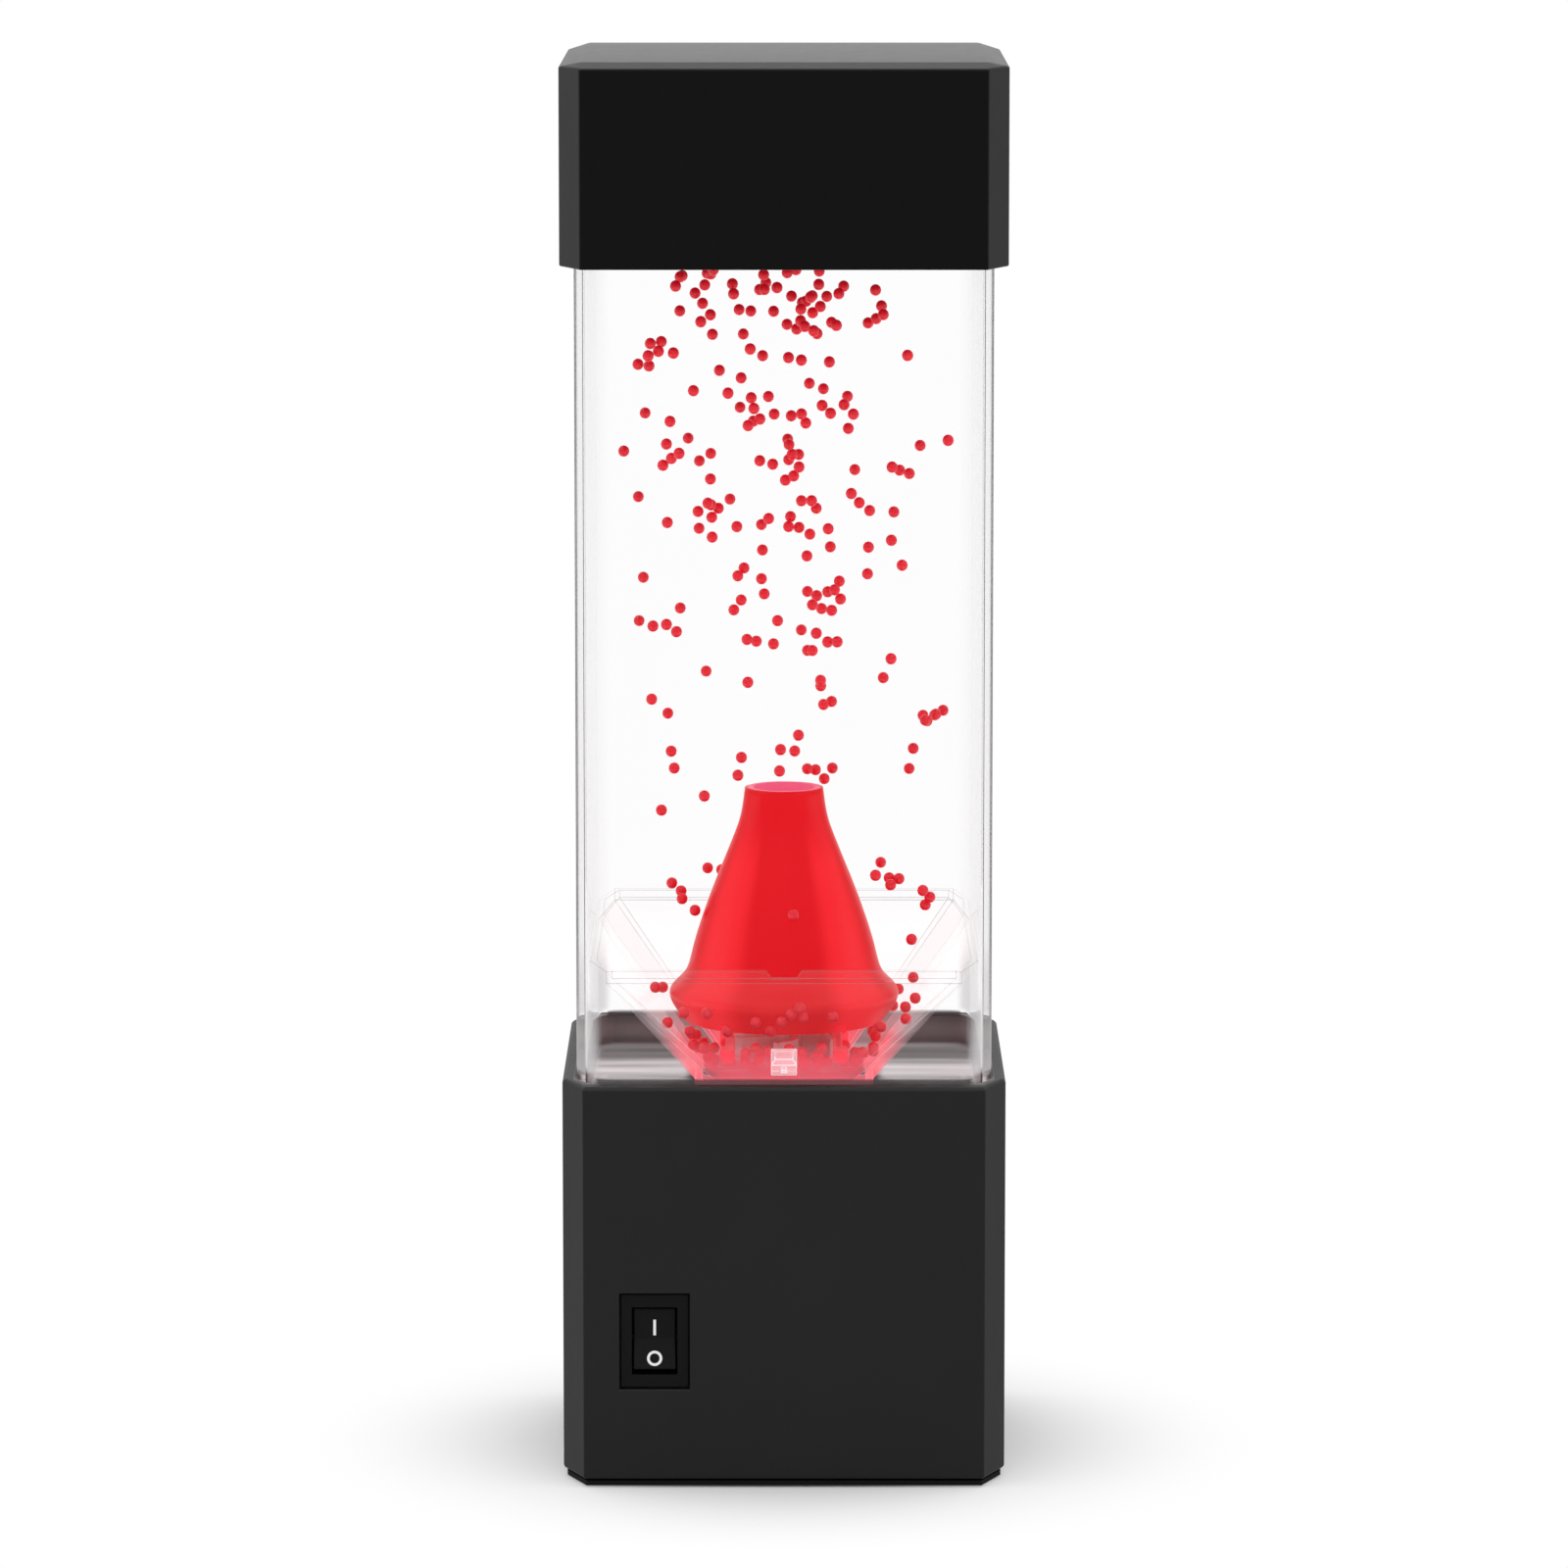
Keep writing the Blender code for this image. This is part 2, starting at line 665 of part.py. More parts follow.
def boss_rib(x, y):
    """The rib that ties a screw boss to the side wall."""
    wall = math.copysign(BODY_WIDTH / 2 - BASE_WALL / 2, x)
    left, right = sorted((x, wall))
    return block((left, y - BOSS_RIB / 2, PLATE_TOP + GAP), (right, y + BOSS_RIB / 2, DECK_BOTTOM + SINK))


def switch_box(width, height, front, back):
    """A box of this width and height about the middle of the switch."""
    return block(
        (SWITCH_X - width / 2, front, SWITCH_Z - height / 2),
        (SWITCH_X + width / 2, back, SWITCH_Z + height / 2),
    )


def switch_block(margin, front, back):
    """A box as wide and high as the switch's flange and an even margin."""
    return switch_box(SWITCH_FLANGE_WIDTH + 2 * margin, SWITCH_FLANGE_HEIGHT + 2 * margin, front, back)


def bottom_plate():
    flange = BODY.inset(PLATE_INSET)
    spigot = BODY.inset(BASE_WALL + GAP)
    flange_top = PLATE_BOTTOM + PLATE_FLANGE
    skin = [
        flange.ring(PLATE_BOTTOM),
        flange.ring(flange_top),
        spigot.ring(flange_top),
        spigot.ring(PLATE_TOP),
    ]
    plate = piece("bottom_plate", loft(skin), "black_plastic")
    wall_x = BAY_HALF_X + BAY_WALL
    wall_y = BAY_HALF_Y + BAY_WALL
    add(plate, "bay_walls", block((-wall_x, -wall_y, PLATE_TOP - SINK), (wall_x, wall_y, BAY_TOP + BAY_WALL)))
    cut(plate, "bay_hollow", block((-BAY_HALF_X, -BAY_HALF_Y, PLATE_TOP), (BAY_HALF_X, BAY_HALF_Y, BAY_TOP)))
    opening = DOOR_HALF + GAP
    groove = opening + DOOR_LIP
    way_low = (-opening, -BAY_HALF_Y, PLATE_BOTTOM - PAST)
    cut(plate, "cell_opening", block(way_low, (opening, BAY_HALF_Y, PLATE_TOP + SINK)))
    cut(plate, "door_way", block(way_low, (opening, BACK + PAST, GROOVE_ROOF)))
    cut(plate, "door_groove", block((-groove, -BAY_HALF_Y, GROOVE_FLOOR), (groove, BACK + PAST, GROOVE_ROOF)))
    head = rod(SCREW_HEAD_RADIUS + GAP, PLATE_BOTTOM - PAST, SCREW_SEAT + SCREW_HEAD + GAP)
    shank = rod(SCREW_RADIUS + GAP, PLATE_BOTTOM - PAST, PLATE_TOP + PAST, TINY_ROUND)
    foot = foot_form(GAP, PLATE_BOTTOM - PAST, FOOT_THICKNESS + GAP)
    cut(plate, "screw_heads", *[moved(head, x, y) for x, y in SCREW_PLACES])
    cut(plate, "screw_holes", *[moved(shank, x, y) for x, y in SCREW_PLACES])
    cut(plate, "foot_seats", *[moved(foot, x, y) for x, y in FOOT_PLACES])


def foot_form(margin, low, high):
    """A pad with round ends, its size and an even margin."""
    half_x = FOOT_WIDTH / 2 + margin
    half_y = FOOT_LENGTH / 2 + margin
    plan = Plan(half_x, half_y, half_x, half_x, CORNER_ROUND)
    return loft([plan.ring(low), plan.ring(high)])


def feet():
    for i, (x, y) in enumerate(FOOT_PLACES, 1):
        piece(f"foot_{i}", foot_form(0, 0, FOOT_THICKNESS), "rubber", (x, y, 0))


def screw_form(head_radius, head, radius, length):
    """A screw that points up, its head's underside on its origin."""
    tip = radius
    profile = (
        (0, 0),
        (head_radius, 0),
        (head_radius, head),
        (radius, head),
        (radius, head + length - tip),
        (0, head + length),
    )
    return turned(profile, TINY_ROUND)


def bottom_screws():
    for i, (x, y) in enumerate(SCREW_PLACES, 1):
        form = screw_form(SCREW_HEAD_RADIUS, SCREW_HEAD, SCREW_RADIUS, SCREW_LENGTH)
        piece(f"bottom_screw_{i}", form, "steel", (x, y, SCREW_SEAT), smooth=ROUND)


def battery_door():
    lip = DOOR_HALF + DOOR_LIP
    lip_low = GROOVE_FLOOR + GAP
    lip_high = GROOVE_ROOF - GAP
    outline = [
        (-DOOR_HALF, PLATE_BOTTOM),
        (DOOR_HALF, PLATE_BOTTOM),
        (DOOR_HALF, lip_low),
        (lip, lip_low),
        (lip, lip_high),
        (-lip, lip_high),
        (-lip, lip_low),
        (-DOOR_HALF, lip_low),
    ]
    slide = pivot("battery_door_slide", (0, 0, PLATE_BOTTOM))
    back = BACK - PLATE_INSET
    form = moved(bar_along_y(outline, GAP - BAY_HALF_Y, back), z=-PLATE_BOTTOM)
    door = piece("battery_door", form, "black_plastic", (0, 0, PLATE_BOTTOM), slide)
    half = DOOR_GRIP_LENGTH / 2
    grips = []
    for i in range(DOOR_GRIP_COUNT):
        y = back - DOOR_GRIP_MARGIN - i * DOOR_GRIP_PITCH
        low = (-half, y - DOOR_GRIP_WIDTH / 2, -PAST)
        grips.append(block(low, (half, y + DOOR_GRIP_WIDTH / 2, DOOR_GRIP_DEPTH)))
    cut(door, "door_grips", *grips, carrier=slide)


def cells_and_contacts():
    profile = (
        (0, 0),
        (CELL_RADIUS, 0),
        (CELL_RADIUS, CELL_LENGTH - CELL_NUB - CELL_SHOULDER),
        (CELL_RADIUS - CELL_SHOULDER, CELL_LENGTH - CELL_NUB),
        (CELL_NUB_RADIUS, CELL_LENGTH - CELL_NUB),
        (CELL_NUB_RADIUS, CELL_LENGTH),
        (0, CELL_LENGTH),
    )
    end = BAY_HALF_X - GAP
    for i in range(CELL_COUNT):
        way = 1 if i % 2 == 0 else -1
        y = (i - (CELL_COUNT - 1) / 2) * CELL_PITCH
        turn = (0, way * math.radians(90), 0)
        tail = end - SPRING_LENGTH - GAP
        piece(
            f"battery_{i + 1}",
            turned(profile, SMALL_ROUND),
            "cell_wrap",
            (-way * tail, y, CELL_AXIS),
            turn=turn,
            smooth=ROUND,
        )
        tube(
            f"contact_spring_{i + 1}",
            spring_points(),
            SPRING_WIRE_RADIUS,
            "steel",
            (-way * end, y, CELL_AXIS),
            turn,
        )
        half = CONTACT_SIDE / 2
        plate = block((-CONTACT_PLATE / 2, -half, -half), (CONTACT_PLATE / 2, half, half))
        piece(f"contact_plate_{i + 1}", plate, "steel", (way * (end - CONTACT_PLATE / 2), y, CELL_AXIS))


def spring_points():
    """The middle line of a contact spring, wound along Z from its origin."""
    rise = SPRING_LENGTH - 2 * SPRING_WIRE_RADIUS
    points = []
    for i in range(SPRING_TURNS * SPRING_POINTS + 1):
        share = i / (SPRING_TURNS * SPRING_POINTS)
        angle = 2 * math.pi * SPRING_TURNS * share
        x = SPRING_RADIUS * math.cos(angle)
        y = SPRING_RADIUS * math.sin(angle)
        points.append((x, y, SPRING_WIRE_RADIUS + rise * share))
    return points


# Rocker switch


def switch_frame():
    flange_front = FLANGE_BACK - SWITCH_FLANGE
    frame = piece("switch_frame", switch_block(0, flange_front, FLANGE_BACK), "switch_plastic")
    body_front = FLANGE_BACK - SWITCH_FLANGE / 2
    add(frame, "switch_body", switch_box(SWITCH_BODY_WIDTH, SWITCH_BODY_HEIGHT, body_front, SWITCH_BACK))
    swing = ROCKER_Y + ROCKER_BACK + ROCKER_HALF_LENGTH * math.sin(2 * ROCKER_HALF_THROW)
    opening = switch_box(SWITCH_OPENING_WIDTH, SWITCH_OPENING_HEIGHT, flange_front - PAST, swing)
    cut(frame, "switch_opening", opening)
    cut(frame, "rocker_pivot_holes", moved(rocker_pin(GAP), SWITCH_X, ROCKER_Y, SWITCH_Z))
    slots = []
    for z in terminal_heights():
        slots.append(terminal_form(z, GAP, SWITCH_BACK - TERMINAL_ROOT - GAP, SWITCH_BACK + PAST))
    cut(frame, "terminal_slots", *slots)


def rocker_pin(margin):
    """The pin that the rocker turns on, its size and an even margin."""
    reach = ROCKER_WIDTH / 2 + ROCKER_PIN_LENGTH + margin
    return bar_along_x(on_circle(ROCKER_PIN_RADIUS + margin, TINY_ROUND), -reach, reach)


def terminal_heights():
    return (SWITCH_Z + TERMINAL_SPACING / 2, SWITCH_Z - TERMINAL_SPACING / 2)


def terminal_form(z, margin, front, back):
    """A blade terminal behind the switch, its size and an even margin."""
    half_x = TERMINAL_WIDTH / 2 + margin
    half_z = TERMINAL_THICKNESS / 2 + margin
    return block((SWITCH_X - half_x, front, z - half_z), (SWITCH_X + half_x, back, z + half_z))


def switch_rocker():
    end = ROCKER_PIVOT_DEPTH + ROCKER_HALF_LENGTH * math.tan(ROCKER_HALF_THROW)
    outline = [
        (ROCKER_BACK, -ROCKER_HALF_LENGTH),
        (-end, -ROCKER_HALF_LENGTH),
        (-ROCKER_PIVOT_DEPTH, 0),
        (-end, ROCKER_HALF_LENGTH),
        (ROCKER_BACK, ROCKER_HALF_LENGTH),
    ]
    axis = pivot("switch_pivot", (SWITCH_X, ROCKER_Y, SWITCH_Z))
    axis.rotation_euler.x = -ROCKER_HALF_THROW
    form = bar_along_x(outline, -ROCKER_WIDTH / 2, ROCKER_WIDTH / 2)
    rocker = piece("switch_rocker", form, "switch_plastic", axis.location, axis)
    softened = rocker.modifiers.new("edges", "BEVEL")
    softened.width = ROCKER_EDGE
    softened.segments = 2
    softened.limit_method = "ANGLE"
    add(rocker, "rocker_pin", rocker_pin(0), carrier=axis)


def switch_terminals():
    for i, z in enumerate(terminal_heights(), 1):
        front = SWITCH_BACK - TERMINAL_ROOT
        piece(f"switch_terminal_{i}", terminal_form(z, 0, front, front + TERMINAL_LENGTH), "brass")


# Supply inlet and leads


def inlet_bar(inset, front, back):
    """The inlet's rounded outline, set in evenly, drawn out along Y."""
    plan = Plan(INLET_WIDTH / 2, INLET_THICKNESS / 2, INLET_CORNER, INLET_CORNER, CORNER_ROUND).inset(inset)
    outline = [(x, INLET_HEIGHT + z) for x, z, _ in plan.ring(0)]
    return bar_along_y(outline, front, back)


def supply_inlet():
    shell = piece("inlet_shell", inlet_bar(0, BACK - INLET_LENGTH, BACK), "steel")
    inner_back = BACK - INLET_LENGTH + INLET_WALL
    cut(shell, "inlet_hollow", inlet_bar(INLET_WALL, inner_back, BACK + PAST))
    half_x = TONGUE_WIDTH / 2
    half_z = TONGUE_THICKNESS / 2
    tongue = block(
        (-half_x, inner_back + GAP, INLET_HEIGHT - half_z),
        (half_x, BACK - TONGUE_SETBACK, INLET_HEIGHT + half_z),
    )
    piece("inlet_tongue", tongue, "switch_plastic")


def leads():
    """The two leads: from the inlet to the switch, and on from the switch to the motor."""
    upper, lower = terminal_heights()
    tip = SWITCH_BACK - TERMINAL_ROOT + TERMINAL_LENGTH + GAP
    inlet = BACK - INLET_LENGTH - GAP
    supply = [
        Vector((0, inlet, INLET_HEIGHT)),
        Vector((0, inlet - LEAD_REACH, INLET_HEIGHT)),
        Vector((SWITCH_X / 2, (inlet + tip) / 2, INLET_HEIGHT + LEAD_BOW)),
        Vector((SWITCH_X, tip + LEAD_REACH, lower)),
        Vector((SWITCH_X, tip, lower)),
    ]
    tab = MOTOR_BOTTOM - MOTOR_TAB_LENGTH - GAP
    motor = [
        Vector((SWITCH_X, tip, upper)),
        Vector((SWITCH_X, tip + LEAD_REACH, upper)),
        Vector(((SWITCH_X - MOTOR_TAB_SPACING / 2) / 2, tip / 2, upper)),
        Vector((-MOTOR_TAB_SPACING / 2, 0, tab - LEAD_REACH)),
        Vector((-MOTOR_TAB_SPACING / 2, 0, tab)),
    ]
    tube("supply_lead", smooth_curve(supply, LEAD_STEPS), LEAD_RADIUS, "lead_wrap")
    tube("motor_lead", smooth_curve(motor, LEAD_STEPS), LEAD_RADIUS, "lead_wrap")


# Drive and lights under the tank


def motor_tray():
    inner = BOARD_RADIUS + GAP
    outer = inner + TRAY_WALL
    sleeve = MOTOR_RADIUS + GAP
    hole = MOTOR_BOSS_RADIUS + GAP
    sleeve_foot = TRAY_BOTTOM - TRAY_SLEEVE_DEPTH
    profile = (
        (hole, TRAY_INSIDE),
        (inner, TRAY_INSIDE),
        (inner, TRAY_TOP),
        (TRAY_FLANGE_RADIUS, TRAY_TOP),
        (TRAY_FLANGE_RADIUS, TRAY_TOP - TRAY_FLANGE),
        (outer, TRAY_TOP - TRAY_FLANGE),
        (outer, TRAY_BOTTOM),
        (sleeve + TRAY_SLEEVE, TRAY_BOTTOM),
        (sleeve + TRAY_SLEEVE, sleeve_foot),
        (sleeve, sleeve_foot),
        (sleeve, TRAY_BOTTOM),
        (hole, TRAY_BOTTOM),
    )
    tray = piece("motor_tray", turned(profile, LARGE_ROUND), "white_plastic", smooth=ROUND)
    bore = rod(TRAY_SCREW_RADIUS + GAP, TRAY_TOP - TRAY_FLANGE - PAST, TRAY_TOP + PAST, TINY_ROUND)
    cut(tray, "tray_screw_holes", *[moved(bore, x, y) for x, y in TRAY_SCREW_PLACES])


def tray_screws():
    seat = TRAY_TOP - TRAY_FLANGE - GAP - TRAY_SCREW_HEAD
    length = TRAY_SCREW_TIP - seat - TRAY_SCREW_HEAD
    for i, (x, y) in enumerate(TRAY_SCREW_PLACES, 1):
        form = screw_form(TRAY_SCREW_HEAD_RADIUS, TRAY_SCREW_HEAD, TRAY_SCREW_RADIUS, length)
        piece(f"tray_screw_{i}", form, "steel", (x, y, seat), smooth=ROUND)


def motor():
    bore = SHAFT_RADIUS + GAP
    boss_top = MOTOR_TOP + MOTOR_BOSS
    profile = (
        (0, MOTOR_BOTTOM),
        (MOTOR_RADIUS - MOTOR_BEVEL, MOTOR_BOTTOM),
        (MOTOR_RADIUS, MOTOR_BOTTOM + MOTOR_BEVEL),
        (MOTOR_RADIUS, MOTOR_TOP - MOTOR_BEVEL),
        (MOTOR_RADIUS - MOTOR_BEVEL, MOTOR_TOP),
        (MOTOR_BOSS_RADIUS, MOTOR_TOP),
        (MOTOR_BOSS_RADIUS, boss_top),
        (bore, boss_top),
        (bore, boss_top - MOTOR_BORE),
        (0, boss_top - MOTOR_BORE),
    )
    can = piece("motor_can", turned(profile, LARGE_ROUND), "steel", smooth=ROUND)
    half_x = MOTOR_TAB_THICKNESS / 2
    half_y = MOTOR_TAB_WIDTH / 2
    tab = block((-half_x, -half_y, MOTOR_BOTTOM - MOTOR_TAB_LENGTH), (half_x, half_y, MOTOR_BOTTOM + SINK))
    add(can, "motor_tabs", *[moved(tab, side * MOTOR_TAB_SPACING / 2) for side in (-1, 1)])


def drive_rotor():
    """The shaft with the disc on it, whose magnets drag the impeller round through the floor of the tank."""
    axis = pivot("motor_axis", (0, 0, DISC_BOTTOM))
    low = MOTOR_TOP + MOTOR_BOSS - MOTOR_BORE + GAP - DISC_BOTTOM
    shaft = rod(SHAFT_RADIUS, low, DISC - DISC_SHAFT_STEP)
    piece("motor_shaft", shaft, "steel", axis.location, axis, smooth=ROUND)
    bore = SHAFT_RADIUS + GAP
    profile = (
        (bore, -DISC_HUB),
        (DISC_HUB_RADIUS, -DISC_HUB),
        (DISC_HUB_RADIUS, 0),
        (DISC_RADIUS, 0),
        (DISC_RADIUS, DISC),
        (bore, DISC),
    )
    form = turned(profile, LARGE_ROUND)
    disc = piece("drive_disc", form, "white_plastic", axis.location, axis, smooth=ROUND)
    pocket = rod(MAGNET_RADIUS + GAP, DISC - MAGNET - GAP, DISC + PAST)
    cut(disc, "magnet_pockets", *[moved(pocket, x, y) for x, y in MAGNET_PLACES], carrier=axis)
    for i, (x, y) in enumerate(MAGNET_PLACES, 1):
        at = (x, y, DISC_BOTTOM + DISC - MAGNET)
        piece(f"drive_magnet_{i}", rod(MAGNET_RADIUS, 0, MAGNET), "magnet", at, axis, smooth=ROUND)


def lights():
    profile = (
        (BOARD_HOLE, BOARD_BOTTOM),
        (BOARD_RADIUS, BOARD_BOTTOM),
        (BOARD_RADIUS, BOARD_BOTTOM + BOARD),
        (BOARD_HOLE, BOARD_BOTTOM + BOARD),
    )
    piece("led_board", turned(profile, LARGE_ROUND), "board", smooth=ROUND)
    dome = LED_RADIUS - LED_RIM
    lens = [(0, 0), (LED_RADIUS, 0), (LED_RADIUS, LED_RIM_HEIGHT), (dome, LED_RIM_HEIGHT)]
    for step in range(LED_DOME_STEPS):
        angle = math.radians(90) * step / LED_DOME_STEPS
        lens.append((dome * math.cos(angle), LED_HEIGHT - dome + dome * math.sin(angle)))
    lens.append((0, LED_HEIGHT))
    for i, (x, y) in enumerate(LED_PLACES, 1):
        piece(f"led_{i}", turned(lens, SMALL_ROUND), "led_lens", (x, y, LED_BASE), smooth=ROUND)


# Tank and what is in it


def tank():
    skin = [
        TANK.ring(TANK_BOTTOM),
        TANK.ring(TANK_TOP),
        TANK_HOLLOW.ring(TANK_TOP),
        TANK_HOLLOW.ring(TANK_INSIDE),
    ]
    body = piece("tank", loft(skin), "clear_plastic", smooth=ROUND)
    boss_top = TANK_INSIDE + PIN_BOSS
    add(body, "pin_boss", rod(PIN_BOSS_RADIUS, TANK_INSIDE - SINK, boss_top))
    cut(body, "pin_bore", rod(PIN_RADIUS + GAP, boss_top - PIN_ROOT - GAP, boss_top + PAST, TINY_ROUND))


def impeller():
    low = TANK_INSIDE + PIN_BOSS - PIN_ROOT
    piece("impeller_pin", rod(PIN_RADIUS, 0, PIN_LENGTH, TINY_ROUND), "steel", (0, 0, low), smooth=ROUND)
    axis = pivot("impeller_axis", (0, 0, IMPELLER_BOTTOM))
    bore = PIN_RADIUS + GAP
    hub_top = IMPELLER_DISC + IMPELLER_HUB
    pocket_roof = RING_MAGNET + GAP
    profile = (
        (bore, 0),
        (RING_MAGNET_INNER - GAP, 0),
        (RING_MAGNET_INNER - GAP, pocket_roof),
        (RING_MAGNET_OUTER + GAP, pocket_roof),
        (RING_MAGNET_OUTER + GAP, 0),
        (IMPELLER_RADIUS, 0),
        (IMPELLER_RADIUS, IMPELLER_DISC),
        (IMPELLER_HUB_RADIUS, IMPELLER_DISC),
        (IMPELLER_HUB_RADIUS, hub_top),
        (bore, hub_top),
    )
    form = turned(profile, LARGE_ROUND)
    wheel = piece("impeller", form, "white_plastic", axis.location, axis, smooth=ROUND)
    blades = [blade(2 * math.pi * i / IMPELLER_BLADE_COUNT) for i in range(IMPELLER_BLADE_COUNT)]
    add(wheel, "impeller_blades", *blades, carrier=axis)
    ring = (
        (RING_MAGNET_INNER, 0),
        (RING_MAGNET_OUTER, 0),
        (RING_MAGNET_OUTER, RING_MAGNET),
        (RING_MAGNET_INNER, RING_MAGNET),
    )
    piece("impeller_magnet", turned(ring, LARGE_ROUND), "magnet", axis.location, axis, smooth=ROUND)


def blade(start):
    """One swept blade of the impeller, rooted in its hub and its disc."""
    inner = IMPELLER_HUB_RADIUS - SINK
    reach = IMPELLER_RADIUS - IMPELLER_BLADE / 2 - inner
    middle = []
    for i in range(BLADE_STEPS + 1):
        share = i / BLADE_STEPS
        angle = start - IMPELLER_BLADE_SWEEP * share**IMPELLER_BLADE_CURL
        middle.append((inner + reach * share) * Vector((math.cos(angle), math.sin(angle))))
    sides = ([], [])
    for i, point in enumerate(middle):
        along = (middle[min(i + 1, BLADE_STEPS)] - middle[max(i - 1, 0)]).normalized()
        across = Vector((-along.y, along.x)) * IMPELLER_BLADE / 2
        sides[0].append(point + across)
        sides[1].append(point - across)
    outline = sides[1] + sides[0][::-1]
    low = IMPELLER_DISC - SINK
    high = IMPELLER_DISC + IMPELLER_BLADE_HEIGHT
    return loft([[(*point, z) for point in outline] for z in (low, high)])


def funnel():
    foot = TANK_INSIDE + GAP
    collar = MOUTH.inset(-FUNNEL_WALL)
    slope = FUNNEL_WALL / 2
    skin = [
        collar.ring(foot),
        collar.ring(SLOPE_FOOT - slope),
        slope_ring(FUNNEL_LIP, SLOPE_TOP - slope),
        rim_ring(FUNNEL_LIP),
        rim_ring(FUNNEL_HOLLOW),
        slope_ring(FUNNEL_HOLLOW, SLOPE_TOP),
        MOUTH.ring(SLOPE_FOOT),
        MOUTH.ring(foot),
    ]
    bowl = piece("funnel", loft(skin, closed=True), "clear_plastic")
    low = TANK_INSIDE + LUG_LIFT
    high = low + LUG_HEIGHT
    front = -slope_out("front", high) - FUNNEL_WALL - LUG_REACH
    half = LUG_WIDTH / 2
    lug_rings = []
    for z in (low, high):
        back = -slope_out("front", z) - FUNNEL_WALL / 2
        lug_rings.append([(-half, front, z), (half, front, z), (half, back, z), (-half, back, z)])
    add(bowl, "funnel_lug", loft(lug_rings))
    hole = [(x, low + LUG_HOLE_LIFT + z) for x, z in on_circle(LUG_HOLE_RADIUS, TINY_ROUND)]
    cut(bowl, "lug_hole", bar_along_y(hole, front - PAST, front + LUG_HOLE_DEPTH))
    notch = [
        (-NOTCH_FOOT_WIDTH / 2, RIM_TOP - NOTCH_DEPTH),
        (NOTCH_FOOT_WIDTH / 2, RIM_TOP - NOTCH_DEPTH),
        (NOTCH_WIDTH / 2, RIM_TOP + SINK),
        (-NOTCH_WIDTH / 2, RIM_TOP + SINK),
    ]
    lip_front = -FUNNEL_LIP.half_y
    cut(bowl, "lip_notch", bar_along_y(notch, lip_front - PAST, lip_front + FUNNEL_WALL + PAST))


def volcano():
    outer = [(radius, z) for z, radius in VOLCANO_FLANK]
    inner = [(radius - VOLCANO_WALL, z) for radius, z in reversed(outer)]
    form = turned(outer + inner, LARGE_ROUND)
    cone = piece("volcano", form, "red_plastic", (0, 0, VOLCANO_FOOT), smooth=ROUND)
    low = VOLCANO_FOOT - VOLCANO_LEG_LENGTH
    high = VOLCANO_FOOT + VOLCANO_LEG_ROOT
    back = slope_out("back", low) - 2 * GAP
    front = -slope_out("front", low) + 2 * GAP
    legs = []
    for left in (-VOLCANO_LEG_X - VOLCANO_LEG_WIDTH / 2, VOLCANO_LEG_X - VOLCANO_LEG_WIDTH / 2):
        right = left + VOLCANO_LEG_WIDTH
        legs.append(block((left, front, low), (right, front + VOLCANO_LEG, high)))
        legs.append(block((left, back - VOLCANO_LEG, low), (right, back, high)))
    add(cone, "volcano_legs", *legs)


def bead_place(side, end, from_end, height):
    """Where a bead's middle is when it lies on one slope of the funnel."""
    across = side in ("left", "right")
    ends = ("front", "back") if across else ("left", "right")
    at_end = ends[end > 0]
    lip = FUNNEL_HOLLOW.half_x if across else FUNNEL_HOLLOW.half_y
    cut_at_lip = FUNNEL_HOLLOW.cut_y if across else FUNNEL_HOLLOW.cut_x
    slope = Vector((lip - FUNNEL_MOUTH, SLOPE_TOP + SLOPE_RISE[side] - SLOPE_FOOT)).normalized()
    z = SLOPE_FOOT + height
    lift = BEAD_RADIUS + GAP
    out = slope_out(side, z) - slope.y * lift
    out *= 1 if side in ("right", "back") else -1
    slope_end = slope_out(at_end, z) - down_the_slope(cut_at_lip, FUNNEL_MOUTH_CUT, z, at_end)
    along = end * (slope_end - from_end)
    place_z = z + slope.x * lift
    return (out, along, place_z) if across else (along, out, place_z)


def beads():
    for i, rest in enumerate(BEADS_AT_REST, 1):
        form = bmesh.new()
        bmesh.ops.create_uvsphere(form, u_segments=TINY_ROUND, v_segments=TINY_ROUND // 2, radius=BEAD_RADIUS)
        piece(f"bead_{i}", finished(form), "bead_plastic", bead_place(*rest), smooth=math.pi)


# Cap


def cap():
    lift = pivot("cap_lift", (0, 0, CAP_BOTTOM))
    top = Plan(BODY.half_x - CAP_BEVEL, BODY.half_y - CAP_BEVEL, 0, 0)
    skin = [BODY.ring(0), BODY.ring(CAP_HEIGHT - CAP_BEVEL_DROP), top.ring(CAP_HEIGHT)]
    shell = piece("cap_shell", loft(skin), "black_plastic", lift.location, lift)
    inside = TANK.inset(-GAP)
    cut(shell, "cap_hollow", loft([inside.ring(-PAST), inside.ring(CAP_HEIGHT - CAP_ROOF)]), carrier=lift)
    spigot = TANK_HOLLOW.inset(GAP)
    hollow = spigot.inset(PLUG_WALL)
    flange_low = PLUG_TOP - PLUG_FLANGE
    spigot_low = TANK_TOP - PLUG_DEPTH
    rings = [
        TANK.ring(PLUG_TOP),
        TANK.ring(flange_low),
        spigot.ring(flange_low),
        spigot.ring(spigot_low),
        hollow.ring(spigot_low),
        hollow.ring(flange_low),
    ]
    piece("cap_plug", moved(loft(rings), z=-CAP_BOTTOM), "black_plastic", lift.location, lift)
    rings = [TANK.ring(SEAL_TOP), TANK.ring(SEAL_TOP - SEAL)]
    rings += [TANK_HOLLOW.ring(SEAL_TOP - SEAL), TANK_HOLLOW.ring(SEAL_TOP)]
    piece("cap_seal", moved(loft(rings, closed=True), z=-CAP_BOTTOM), "silicone", lift.location, lift)


